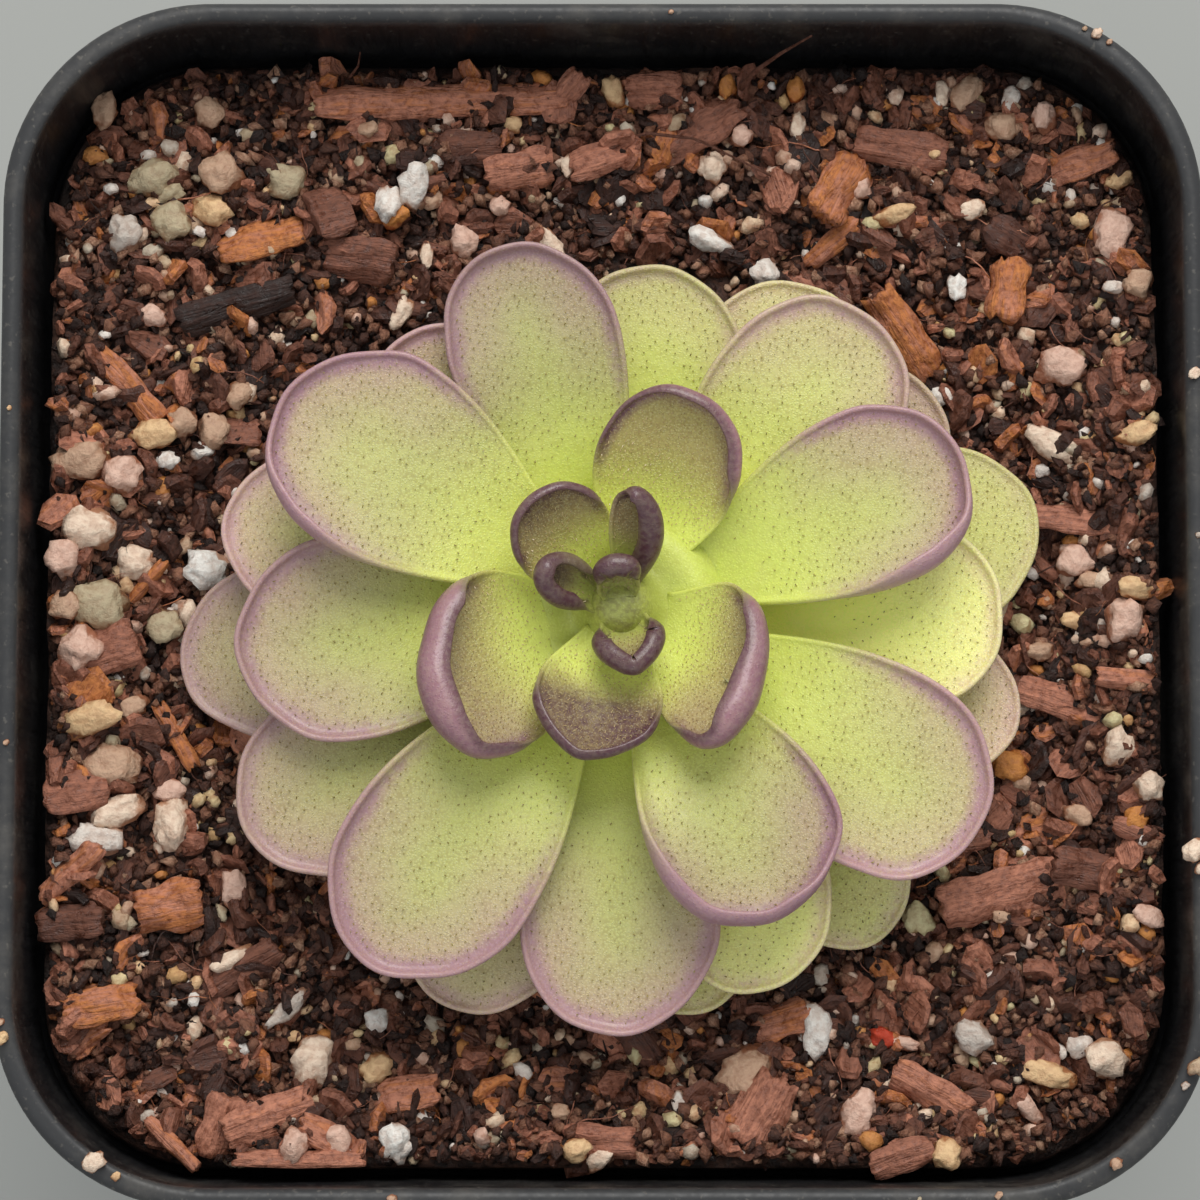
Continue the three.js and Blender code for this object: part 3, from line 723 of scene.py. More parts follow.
def fillLeaf(index):                    # what the list leaves to the leaf's place in the rosette
    d, entry = leafDesign, leaves[index]
    young = index < d["youngCount"]
    kind = d["young" if young else "grown"]
    above = (d["youngCount"] if young else len(leaves)) - 1 - index      # leaves of its kind below it
    return {
        **leafDefaults, "young": young, "seed": index, "base": d["base"],
        "foot": kind["foot"] + above * kind["footStep"], "rise": d["rise"] + above * d["riseStep"],
        "cup": kind["cup"] if young else d["cup"] + above * d["cupStep"],
        "baseHalf": kind["baseShare"] * entry["width"], "widest": kind["widest"],
        "rim": kind["rim"], "rollFrom": kind["rollFrom"],
        "rimmed": 1.0 if index < 13 else 0.95 if index < 19 else 0.8,
        "deep": d["deep"] - d["deepStep"] * (index - d["youngCount"]), **entry}


def swayAt(leaf, x):
    return leaf["sway"] * (x / (leaf["reach"] - leaf["base"])) ** 2


def waveAt(leaf, u):                    # a slow wander of the margin, of its own for each leaf
    shift = 2.4 * leaf["seed"]
    return np.sin(9.5 * u + shift) + 0.7 * np.sin(15.5 * u + 1.7 * shift) + 0.4 * np.sin(27 * u + 3.1 * shift)


def marginAt(leaf, u, side):            # u is 0 at the base, 1 at the tip and 2 back at the base
    back = u > 1
    u, side = np.where(back, 2 - u, u), np.where(back, -side, side)
    length = leaf["reach"] - leaf["base"]
    wide, half = leaf["widest"] * length, leaf["width"] / 2
    share = leafDesign["sideShare"]
    sideX = wide * u / share
    flare = np.sin(np.clip(0.5 * np.pi * sideX / wide, 0, np.pi / 2)) ** leafDesign["flarePower"]
    turn = 0.5 * np.pi * (u - share) / (1 - share)
    x = np.where(u < share, sideX, wide + (length - wide) * np.sin(turn))
    tipY = half * np.cos(turn) * (1 - leaf["pinch"] * np.sin(turn) ** 2)
    y = np.where(u < share, lerp(leaf["baseHalf"], half, flare), tipY)
    most = leafDesign["wave"] * (leaf["width"] / leafDesign["waveWidth"]) ** 2
    wander = most * smooth(0.25, 0.6, u) * waveAt(leaf, np.where(side > 0, u, 2 - u))
    outX, outY = np.sin(np.clip(turn, 0, np.pi / 2)), np.cos(np.clip(turn, 0, 1.5))
    return x + wander * outX, side * (y + wander * outY) + swayAt(leaf, x)


def spineAt(leaf, u):
    length, share = leaf["reach"] - leaf["base"], leafDesign["sideShare"]
    wide = leaf["widest"] * length
    last = lerp(0.92 * wide, wide + 0.3 * (length - wide), (u - share) / (1 - share))
    last = np.minimum(last, length - leaf["curls"][1] - leaf["rim"] - 0.3)
    x = np.where(u < share, 0.92 * wide * u / share, last)
    return x, swayAt(leaf, x)


def heightAt(leaf, x, y):
    r = np.hypot(x + leaf["base"], y)
    if leaf["young"]:
        way = np.clip((r - leaf["base"]) / (leaf["reach"] - leaf["base"]), 0, 1)
        return leaf["foot"] + leaf["rise"] * way * (0.8 + 0.2 * way)
    level = leafDesign["levelRadius"]
    climb = np.sin(0.5 * np.pi * np.clip((r - leaf["base"]) / (level - leaf["base"]), 0, 1))
    fall = leafDesign["droop"] * np.maximum(0, r - level) ** 2
    return leaf["foot"] + leaf["rise"] * climb + leaf["lift"] * lerp(0.45, 1, climb) - fall


def rollAt(leaf, u, side):
    left, tip, right = leaf["roll"]
    along = lerp(np.where(side > 0, left, right), tip, smooth(0.6, 1, u))
    start, full = leaf["rollFrom"], leafDesign["fullRollAt"]
    if leaf["young"]:
        full = min(full, start + 0.3)
    return np.radians(lerp(leafDesign["flatRoll"], along, smooth(start, full, u)))


def curlAt(leaf, u, side):
    left, tip, right = leaf["curls"]
    return lerp(np.where(side > 0, left, right), tip, smooth(0.45, 0.95, u))


def thickAt(leaf, v):
    return lerp(leafDesign["thickness"], leaf["rim"], smooth(0.3, 1, v))


def bladePoints(leaf, u, v):            # v is 0 on the middle line, 1 where the roll starts, 2 at the rim
    side = np.where(u > 1, -1.0, 1.0)
    u = np.where(u > 1, 2 - u, u)
    step = 1e-3
    ax, ay = marginAt(leaf, np.maximum(0, u - step), side)
    bx, by = marginAt(leaf, u + step, side)
    mx, my = marginAt(leaf, u, side)
    run = np.hypot(bx - ax, by - ay)
    inX, inY = side * (by - ay) / run, -side * (bx - ax) / run
    fullRoll, curl = rollAt(leaf, u, side), curlAt(leaf, u, side)
    reachOut = (curl + leaf["rim"]) * np.sin(np.minimum(fullRoll, np.pi / 2))
    cx, cy = mx + inX * reachOut, my + inY * reachOut
    sx, sy = spineAt(leaf, u)
    cup = leaf["cup"] * lerp(0.3, 1, smooth(0, 0.5, u))
    gap = np.maximum(0.4, np.hypot(cx - sx, cy - sy))
    fall = heightAt(leaf, cx, cy) - heightAt(leaf, cx + 0.1 * inX, cy + 0.1 * inY)
    startRoll = np.arctan(2 * cup / gap + fall / 0.1)
    qx, qy = cx - inX * curl * np.sin(startRoll), cy - inY * curl * np.sin(startRoll)
    flat = np.minimum(v, 1)
    bladeX, bladeY = lerp(sx, qx, flat), lerp(sy, qy, flat)
    bladeZ = heightAt(leaf, bladeX, bladeY) + cup * flat ** 2
    roll = lerp(startRoll, startRoll + fullRoll, v - 1)
    rimX, rimY = cx - inX * curl * np.sin(roll), cy - inY * curl * np.sin(roll)
    rimZ = heightAt(leaf, qx, qy) + cup + curl * (np.cos(startRoll) - np.cos(roll))
    onBlade = v <= 1
    return np.stack([np.where(onBlade, bladeX, rimX), np.where(onBlade, bladeY, rimY),
                     np.where(onBlade, bladeZ, rimZ)], -1)


def unit(vectors):
    return vectors / np.maximum(1e-9, np.linalg.norm(vectors, axis=-1, keepdims=True))


def bladeFrame(leaf, u, v):             # points of the upper face, its normals, and the way out to the rim
    step = 2e-3
    low = np.where(v > 1, np.maximum(1.0001, v - step), np.maximum(0, v - step))
    high = np.where(v > 1, np.minimum(2, v + step), np.minimum(1, v + step))
    along = bladePoints(leaf, np.minimum(2, u + step), v) - bladePoints(leaf, np.maximum(0, u - step), v)
    across = bladePoints(leaf, u, high) - bladePoints(leaf, u, low)
    return bladePoints(leaf, u, v), unit(np.cross(along, across)), unit(across)


def standLeaf(leaf, points):            # from the leaf's own place to its place in the rosette, in metres
    turn = math.radians(leaf["way"])
    ahead, aside = math.cos(turn), math.sin(turn)
    x, y, z = points[..., 0] + leaf["base"], points[..., 1], points[..., 2]
    return np.stack([plantX + x * ahead - y * aside, plantY + x * aside + y * ahead, z], -1) * mm


def rimGaps(points):                    # how far each point of the upper face lies from the rim
    steps = np.linalg.norm(np.diff(points, axis=0), axis=-1)
    gaps = np.zeros(points.shape[:2])
    gaps[:-1] = np.cumsum(steps[::-1], axis=0)[::-1]
    return gaps


def heartPurple(r):                     # the innermost leaves and the crown between them turn purple
    return leafDesign["heartPurple"] * (1 - smooth(0.8, 2.8, r))


def heartShade(r):                      # and are a little darker
    return lerp(leafDesign["heartShade"], 1, smooth(2, 4.2, r))


def leafMarks(leaf, points, gaps, u, under):     # how purple, how pink, how bright green each point is
    r = np.hypot(points[..., 0] + leaf["base"], points[..., 1])
    way = (r - leaf["base"]) / (leaf["reach"] - leaf["base"])
    along = np.where(u > 1, 2 - u, u)
    side = np.where(u > 1, -1.0, 1.0)
    curl, roll = curlAt(leaf, along, side), rollAt(leaf, along, side)
    rolled = (curl + 0.5 * leaf["rim"]) * roll
    start, full = (leaf["rollFrom"], leaf["rollFrom"] + 0.26) if leaf["young"] else (0.18, 0.5)
    sides = lerp(np.where(side > 0, *leaf["sides"]), 1, smooth(0.45, 0.75, along))
    rimmed = leaf["rimmed"] * smooth(start, full, along) * sides
    deep = leaf["deep"] + 0 * gaps
    if leaf["young"]:
        flush = leaf["flushed"] * smooth(*leaf["flush"], way) * smooth(0.2, 0.5, along)
        rim = (1 - smooth(rolled, rolled + 0.4, gaps)) * rimmed
        onTop = np.maximum(np.maximum(rim, flush), heartPurple(r))
        beneath = (1 - smooth(rolled, 1.6 * rolled + 1.0, gaps)) * rimmed
        bright = 1 - smooth(0.3, 0.75, way)
        inner = (1 - smooth(0.25, 0.6, way)) * smooth(2, 4.2, r)
        outline = np.maximum(0.3, (curl + leaf["rim"]) * (roll - 1.2))
        creaseShade, edge = 0.85 * (1 - smooth(0.15, 0.75, gaps)), 0.4 * smooth(0.5, 1.1, gaps / outline)
        deep = lerp(deep, 1, np.maximum(creaseShade, edge))           # painted shade: darker in the crease under the roll's edge, partly the rim's own darker purple, and along the rolled outline
    else:
        onTop = (1 - smooth(0.55 * rolled, rolled + 0.3, gaps)) * rimmed
        beneath = (1 - smooth(0.9 * rolled, 1.3 * rolled + 0.8, gaps)) * rimmed
        bright = np.clip(1 - smooth(7.0, 20.0, r) + leaf["fresh"], 0, 1)
        inner = 1 - smooth(8.5, 14, r)
    pink = (1 - smooth(0.6, 6.2, gaps)) * smooth(0.2, 0.55, along) * leaf["blush"]
    # painted light and shade: the leaf's tone lifts leaves shaded by their neighbours and darkens others, and
    # glow lightens the inner part against the shade in the rosette's middle
    toneAndLight = leaf["toneAndLight"] * (1 + leaf["glow"] * inner) * heartShade(r)
    return {"purple": np.where(under > 0.5, beneath, onTop), "pink": pink, "bright": bright, "under": under,
            "toneAndLight": toneAndLight, "deep": deep}


def gridFaces(ids):                     # quads over rows of points, triangles where two corners are one
    faces = []
    for near, far in zip(ids, ids[1:]):
        for j in range(len(near) - 1):
            corners = tuple(dict.fromkeys(int(i) for i in (near[j], near[j + 1], far[j + 1], far[j])))
            if len(corners) > 2:
                faces.append(corners)
    return faces


def makeLeaf(index, finish):
    d, leaf = leafDesign, fillLeaf(index)
    columns, half = d["columns"], leaf["rim"] / 2
    u = np.linspace(0, 2, columns + 1)[None, :]
    outV, backV = np.linspace(1, 2, d["rollRows"] + 1)[1:], np.linspace(2, 1, d["rollRows"] + 1)
    topV = np.concatenate([np.linspace(0, 1, d["bladeRows"]), outV])[:, None]
    underV = np.concatenate([backV, np.linspace(1, 0, d["underRows"])[1:]])[:, None]
    top, topNormal, topOut = bladeFrame(leaf, u, topV)
    under, underNormal, _ = bladeFrame(leaf, u, underV)
    under = under - thickAt(leaf, underV)[..., None] * underNormal
    middle = top[-1] - half * topNormal[-1]
    turns = [math.pi * (i + 1) / (d["capRows"] + 1) for i in range(d["capRows"])]
    cap = [middle + half * (math.cos(a) * topNormal[-1] + math.sin(a) * topOut[-1]) for a in turns]
    points = np.concatenate([top, np.stack(cap), under])
    rows = len(points)
    gaps = np.concatenate([rimGaps(top), np.zeros((len(cap), columns + 1)), rimGaps(under[::-1])[::-1]])
    beneath = np.concatenate([np.zeros(len(top)), np.linspace(0.2, 0.8, d["capRows"]), np.ones(len(under))])
    marks = leafMarks(leaf, points, gaps, np.broadcast_to(u, gaps.shape), beneath[:, None] + 0 * gaps)
    ids = np.arange(rows * (columns + 1)).reshape(rows, columns + 1)
    for row in (0, rows - 1):                        # both halves share the middle line
        ids[row] = ids[row][np.minimum(np.arange(columns + 1), columns - np.arange(columns + 1))]
    faces = gridFaces(ids)
    faces.append(tuple(int(i) for i in [*ids[:, 0], *ids[1:-1, columns][::-1]]))     # closes the foot
    used = np.unique([i for face in faces for i in face])
    renumber = np.zeros(ids.size, int)
    renumber[used] = np.arange(len(used))
    faces = [tuple(int(renumber[i]) for i in face) for face in faces]
    marks = {label: values.reshape(-1)[used] for label, values in marks.items()}
    stood = standLeaf(leaf, points).reshape(-1, 3)[used]
    piece = makePiece(f"leaf_{index + 1:02d}_blade", stood, faces, finish, marks)
    tidyFaces(piece)
    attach(piece, "root")
    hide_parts(f"leaf_{index + 1:02d}")


skinDesign = {
    "bright": paint(209, 220, 106), "haze": paint(246, 238, 196), "under": paint(190, 184, 128),
    "stippleShade": (0.6, 0.5, 0.42, 1), "stippleScale": 6200.0, "cloudScale": 420.0, "fineScale": 3000.0,
    "swellScale": 260.0, "reliefDepth": 0.22 * mm,
    "grown": {"olive": paint(200, 200, 128), "pink": paint(198, 172, 150), "rim": paint(194, 160, 156),
              "deepRim": paint(166, 126, 136), "roughness": 0.44, "glow": 0.35, "dark": 0.5, "light": 0.3,
              "coat": 0.3},
    "young": {"olive": paint(190, 178, 108), "pink": paint(178, 158, 114), "rim": paint(178, 130, 140),
              "deepRim": paint(88, 55, 63), "roughness": 0.34, "glow": 0.1, "dark": 0.5, "light": 0.55,
              "coat": 0.34},
}


def makeLeafSkin(name, tones):
    s = skinDesign
    material, tree, shader, place = newFinish(name, {
        "Subsurface Weight": tones["glow"], "Subsurface Radius": (1.0, 0.9, 0.35),
        "Subsurface Scale": 0.7 * mm, "Specular IOR Level": 0.36, "Coat Roughness": 0.22})
    cloud = useGroup(tree, mottle, Place=place, Scale=s["cloudScale"], Detail=4.0)["Mask"]
    fine = useGroup(tree, mottle, Place=place, Scale=s["fineScale"], Detail=3.0)["Mask"]
    dots = useGroup(tree, stipple, Place=place, Scale=s["stippleScale"])
    drift = times(tree, maths(tree, "SUBTRACT", cloud, 0.5), 0.2)
    fineDrift = times(tree, maths(tree, "SUBTRACT", fine, 0.5), 0.3)
    purple, bright = mark(tree, "purple"), mark(tree, "bright")
    green = blend(tree, plus(tree, bright, drift, clamp=True), tones["olive"], s["bright"])
    pink = times(tree, mark(tree, "pink"), 0.85)
    pinked = blend(tree, plus(tree, pink, drift, clamp=True), green, tones["pink"])
    rim = blend(tree, mark(tree, "deep"), tones["rim"], tones["deepRim"])
    wobble = times(tree, plus(tree, drift, fineDrift), span(tree, purple, 0.0, 0.4))
    purpled = blend(tree, plus(tree, purple, wobble, clamp=True), pinked, rim)
    shown = times(tree, span(tree, bright, 0.2, 1.0, 1.0, 0.4),
                  span(tree, purple, 0.2, 0.9, 1.0, 0.5))
    dark = times(tree, dots["Dark"], times(tree, shown, tones["dark"]))
    darkened = blend(tree, dark, purpled, blend(tree, 1.0, purpled, s["stippleShade"], "MULTIPLY"))
    light = times(tree, dots["Light"], times(tree, shown, tones["light"]))
    lit = blend(tree, light, darkened, blend(tree, 0.5, s["haze"], purpled))
    rimBeneath = blend(tree, times(tree, fine, 0.07), rim, s["haze"])
    beneath = blend(tree, purple, s["under"], rimBeneath)
    both = blend(tree, span(tree, mark(tree, "under"), 0.3, 1.0), lit, beneath)
    # the tone mark, partly painted light and shade, scales the colour's value
    toned = addNode(tree, "ShaderNodeHueSaturation", {"Value": mark(tree, "toneAndLight"), "Color": both})
    rough = span(tree, fine, 0.0, 1.0, tones["roughness"] - 0.06, tones["roughness"] + 0.1)
    relief = maths(tree, "MULTIPLY_ADD", dots["Height"], times(tree, shown, 0.2),
                   times(tree, fine, 0.08))
    swell = noiseAt(tree, place, s["swellScale"], 2.0)
    feed(tree, shader, {
        "Base Color": toned.outputs[0], "Roughness": rough,
        "Coat Weight": maths(tree, "MULTIPLY_ADD", purple, tones["coat"], 0.04),
        "Normal": bumpFrom(tree, plus(tree, relief, swell), s["reliefDepth"], 0.8)})
    return material


grownSkin = makeLeafSkin("grownLeafSkin", skinDesign["grown"])
youngSkin = makeLeafSkin("youngLeafSkin", skinDesign["young"])
for index in range(len(leaves)):
    makeLeaf(index, youngSkin if index < leafDesign["youngCount"] else grownSkin)
print("leaves ready")


# glands

glandDesign = {
    "grown": {"Spacing": 0.37 * mm, "Head radius": 0.046 * mm, "Stalk radius": 0.026 * mm,
              "Stalk length": 0.13 * mm, "Lean": 0.6, "Seed": 7},
    "young": {"Spacing": 0.2 * mm, "Head radius": 0.03 * mm, "Stalk radius": 0.022 * mm,
              "Stalk length": 0.12 * mm, "Lean": 0.8, "Seed": 19},
    "columns": 49, "rows": 10, "ontoRoll": 0.12, "pastRoll": 0.3,      # shares of the rolled margin
    "dark": paint(124, 108, 56), "olive": paint(174, 160, 94),
    "gold": paint(212, 190, 140), "plum": paint(184, 156, 112),
}


def makeGlandFinish(name, low, high):
    material, tree, shader, place = newFinish(name, {"Roughness": 0.22, "Coat Weight": 0.3,
                                                     "Coat Roughness": 0.1})
    fine = useGroup(tree, mottle, Place=place, Scale=9000.0, Detail=1.0)["Mask"]
    tint = times(tree, mark(tree, "tint"), 0.8)
    share = maths(tree, "MULTIPLY_ADD", fine, 0.3, tint, clamp=True)
    feed(tree, shader, {"Base Color": blend(tree, share, low, high)})
    return material


def glandRoom(leaf, top, v, inner):     # where glands stand: past the foot, and fewer away from the margin
    r = np.hypot(top[..., 0] + leaf["base"], top[..., 1])
    if leaf["young"]:
        room = smooth(0.15, 0.4, (r - leaf["base"]) / (leaf["reach"] - leaf["base"]))
    else:
        room = smooth(inner, inner + 4, r) * (0.65 + 0.35 * (1 - smooth(1.0, 4.0, rimGaps(top))))
    return room * (v < 1.2)


def makeGlands(name, indices, values, finish, inner):
    d = glandDesign
    u = np.linspace(0.05, 1.95, d["columns"])[None, :]
    v = np.concatenate([np.linspace(0.02, 1, d["rows"]), [1 + d["ontoRoll"], 1 + d["pastRoll"]]])[:, None]
    points, faces, room = [], [], []
    for index in indices:
        leaf = fillLeaf(index)
        top = bladePoints(leaf, u, v)
        ids = len(points) + np.arange(top[..., 0].size).reshape(top.shape[:2])
        faces += gridFaces(ids)
        points.extend(standLeaf(leaf, top).reshape(-1, 3))
        room.extend(glandRoom(leaf, top, v, inner).reshape(-1))
    source = makePiece(name + "_source", points, faces, None, {"glandRoom": room})
    workOn(source, lambda made: bmesh.ops.reverse_faces(
        made, faces=[face for face in made.faces if face.normal.z < 0]))
    glands = growWith(glandTree, source, name, dict(values, Finish=finish))
    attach(glands, "root")
    return glands


darkGland = makeGlandFinish("glandHead", glandDesign["dark"], glandDesign["olive"])
goldGland = makeGlandFinish("youngGland", glandDesign["plum"], glandDesign["gold"])
glandPieces = [
    makeGlands("glands_upper", range(9, 17), glandDesign["grown"], darkGland, 7.0),
    makeGlands("glands_middle", range(17, 25), glandDesign["grown"], darkGland, 11.0),
    makeGlands("glands_lower", range(25, 33), glandDesign["grown"], darkGland, 16.0),
    makeGlands("glands_young", range(0, 9), glandDesign["young"], goldGland, 0.0),
]
print("glands ready", [len(piece.data.polygons) for piece in glandPieces])


# crown

crownDesign = {
    "stem": [(2.6, 50.3), (3.4, 52.0), (3.4, 57.0), (4.6, 58.6), (7.2, 59.3)],   # radius and height, mm
    "sides": 72, "topRings": 30, "reach": 8.6, "skirt": 60.0,      # the top falls to the skirt's height
    "under": 0.2,                                                 # how far it lies under the young blades
    "dome": 66.62, "domeFall": 0.22,
    "spread": 38.0,                                               # degrees over which a blade still counts
}


def heartHeight(x, y):                  # lies just under the young leaves' blades and rounds off between them
    d = crownDesign
    r, turn = math.hypot(x, y), math.degrees(math.atan2(y, x))
    total = level = 0.0
    for index in range(3, leafDesign["youngCount"]):
        leaf = fillLeaf(index)
        apart = (turn - leaf["way"] + 180) % 360 - 180
        weight = math.exp(-(apart / d["spread"]) ** 2) + 0.02
        height = float(heightAt(leaf, np.array(r - leaf["base"]), np.array(0.0)))
        total += weight
        level += weight * min(height, leaf["foot"] + 0.32 * leaf["rise"])
    outer = float(smooth(3.6, d["reach"], r))
    middle = d["dome"] - d["domeFall"] * r * r
    mixed = lerp(middle, level / total - d["under"], float(smooth(1.2, 3.4, r)))
    return lerp(mixed, d["skirt"], outer ** 1.5)


def makeCrown():
    d = crownDesign
    turns = np.arange(d["sides"]) * 2 * np.pi / d["sides"]
    rings = [[(r * math.cos(a), r * math.sin(a), z) for a in turns] for r, z in d["stem"]]
    for r in np.linspace(d["reach"], 0.25, d["topRings"]):
        circle = [(r * math.cos(a), r * math.sin(a)) for a in turns]
        rings.append([(x, y, heartHeight(x, y)) for x, y in circle])
    points, faces = skinRings(rings, (0, 0, d["stem"][0][1]), (0, 0, heartHeight(0, 0)))
    points = np.array(points) + (plantX, plantY, 0)
    apart = np.hypot(points[:, 0] - plantX, points[:, 1] - plantY)
    marks = {"purple": heartPurple(apart), "pink": 0 * apart, "bright": 1 + 0 * apart, "under": 0 * apart,
             "toneAndLight": heartShade(apart), "deep": 1 + 0 * apart}
    crown = makePiece("crown_heart", points * mm, faces, youngSkin, marks)
    tidyFaces(crown)
    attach(crown, "root")
    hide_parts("crown")


makeCrown()
print("crown ready")


# potting mix

soilDesign = {
    "level": 57.6, "underLeaves": 56.6, "rosette": (25.0, 29.0),  # radii where the bed dips under the rosette
    "bank": 2.6, "bankFrom": 26.5, "bankTo": 33.0,
    "walls": [3.3, 3.9, 20.0, 38.0, 53.9, 56.0], "wallGap": 0.4, "cornerInset": 1.4,
    "aroundSteps": 320, "rings": 44,
    "sunk": 0.45, "roughness": 0.4,                                # relief of the bed below the loose mix, mm
    "bedDark": paint(32, 21, 17), "bedBrown": paint(100, 66, 51),
}
# how much of each lies about. number: to the square centimetre. small and large: length, mm. tumble: how far
# a piece may lean, radians. sink and rise: how far below or above the bed it may lie, mm. toWall: its gap to
# the pot's wall, mm
mixDesign = {
    "bark_flakes": dict(number=135, small=1.1, large=3.4, tumble=1.1, sink=0.8, rise=0.8,
                         toWall=1.65, seed=3),
    "wall_flakes": dict(number=330, small=0.6, large=1.7, tumble=1.2, sink=0.5, rise=0.8,
                         toWall=0.75, seed=34),
    "humus_crumbs": dict(number=520, small=0.5, large=1.5, tumble=3.1, sink=0.3, rise=0.9,
                         toWall=0.65, seed=5),
    "small_grains": dict(number=36, small=0.6, large=1.7, tumble=3.1, sink=0.2, rise=0.9,
                         toWall=1.1, seed=8),
    "small_perlite": dict(number=6, small=0.5, large=1.4, tumble=3.1, sink=0.0, rise=0.9,
                         toWall=0.95, seed=13),
    "root_fibres": dict(number=26, small=1.6, large=5.0, tumble=0.45, sink=0.0, rise=1.0,
                         toWall=2.6, seed=21),
}


def lumps(x, y):
    return (0.35 * np.sin(0.55 * x + 1.3) * np.cos(0.48 * y - 0.4) + 0.25 * np.sin(1.1 * x - 0.7 * y)
            + 0.15 * np.cos(1.5 * y + 0.9 * x))


def bankAt(x, y):                       # banked up at three walls, low at the back and in the corners
    s = soilDesign
    side = smooth(s["bankFrom"], s["bankTo"], np.abs(x)) * np.where(x < 0, 0.7, 1.0)
    front = smooth(s["bankFrom"], s["bankTo"], -y)
    inCorner = smooth(20, 29, np.minimum(np.abs(x), np.abs(y)))
    return s["bank"] * np.maximum(side, front) * (1 - smooth(14, 28, y)) * (1 - inCorner)


def soilHeight(x, y):
    s = soilDesign
    free = smooth(*s["rosette"], np.hypot(x - plantX, y - plantY))
    return lerp(s["underLeaves"], s["level"], free) + lerp(0.25, 1, free) * lumps(x, y) + bankAt(x, y)


def makeSoilFinish():
    material, tree, shader, place = newFinish("dampHumus")
    crumb = useGroup(tree, grit, Place=place, Scale=1400.0)
    cloud = useGroup(tree, mottle, Place=place, Scale=260.0, Detail=4.0)["Mask"]
    share = times(tree, crumb["Mask"], cloud)
    feed(tree, shader, {"Base Color": blend(tree, share, soilDesign["bedDark"], soilDesign["bedBrown"]),
                        "Roughness": span(tree, crumb["Mask"], 0, 1, 0.45, 0.85),
                        "Normal": bumpFrom(tree, crumb["Height"], 0.5 * mm)})
    return material


def makeSoilBed():
    s = soilDesign
    count, levels = s["aroundSteps"], s["walls"]
    gap, inset = s["wallGap"], s["cornerInset"]
    rings = [squareRing(innerHalfAt(z) - gap, cornerAt(z, inset), z, count) for z in levels]
    half, corner = innerHalfAt(s["level"]) - gap, cornerAt(s["level"], inset)
    shares = np.concatenate([[0.99, 0.975], np.linspace(0.955, 0.1, s["rings"])])
    for share in shares:
        ring = squareRing(half * share, corner * share, 0, count)
        rough = np.array([noise.fractal(Vector((x, y, 0)) * 0.9, 0.7, 2.1, 4) for x, y, _ in ring])
        atWall = 0.4 if share > 0.985 else 0
        ring[:, 2] = soilHeight(ring[:, 0], ring[:, 1]) - s["sunk"] + s["roughness"] * rough - atWall
        rings.append(ring)
    points, faces = skinRings(rings, (0, 0, levels[0]), (0, 0, float(soilHeight(0, 0)) - s["sunk"]))
    bed = makePiece("soil_bed", np.array(points) * mm, faces, makeSoilFinish())
    tidyFaces(bed)
    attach(bed, "root")
    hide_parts("soil")
    return np.array(rings[len(levels) + 1:])         # the open ground, for strewing


def makeBarkFinish(name, stops, wet):
    material, tree, shader, place = newFinish(name)
    wood = useGroup(tree, fibre, Place=mark(tree, "place", "Vector"), Streaks=9.0)
    crumb = useGroup(tree, grit, Place=place, Scale=2400.0)
    streaks = maths(tree, "SUBTRACT", wood["Mask"], 0.5)
    body = ramp(tree, maths(tree, "MULTIPLY_ADD", streaks, 0.12, mark(tree, "tint"), clamp=True), stops)
    dark = blend(tree, 1.0, body, (0.5, 0.42, 0.38, 1), "MULTIPLY")
    height = plus(tree, wood["Height"], times(tree, crumb["Height"], 0.5))
    feed(tree, shader, {"Base Color": blend(tree, times(tree, crumb["Mask"], 0.75), dark, body),
                        "Roughness": span(tree, crumb["Mask"], 0, 1, wet, 0.8),
                        "Normal": bumpFrom(tree, height, 0.3 * mm)})
    return material


def makeStoneFinish(name, stops, spread, wet):
    material, tree, shader, place = newFinish(name)
    crumb = useGroup(tree, grit, Place=place, Scale=2100.0)
    cloud = useGroup(tree, mottle, Place=place, Scale=1500.0, Detail=5.0)["Mask"]
    body = ramp(tree, mark(tree, "tint"), stops)
    # brown towards each grain's underside (the low mark): partly soil stain, partly painted shade; the cloud
    # adds stain patches at random, and the pits take the same brown
    brownStainAndShade = blend(tree, 1.0, body, (0.5, 0.29, 0.2, 1), "MULTIPLY")
    patches = times(tree, cloud, 1 - spread)
    stainAndShadeShare = span(tree, maths(tree, "MULTIPLY_ADD", mark(tree, "low"), 0.9, patches), 0.3, 0.9)
    pits = times(tree, maths(tree, "SUBTRACT", 1.0, crumb["Mask"]), 0.4)
    feed(tree, shader, {"Base Color": blend(tree, pits, blend(tree, stainAndShadeShare, body, brownStainAndShade), brownStainAndShade),
                        "Roughness": span(tree, crumb["Mask"], 0, 1, wet, 0.75),
                        "Normal": bumpFrom(tree, crumb["Height"], 0.22 * mm)})
    return material


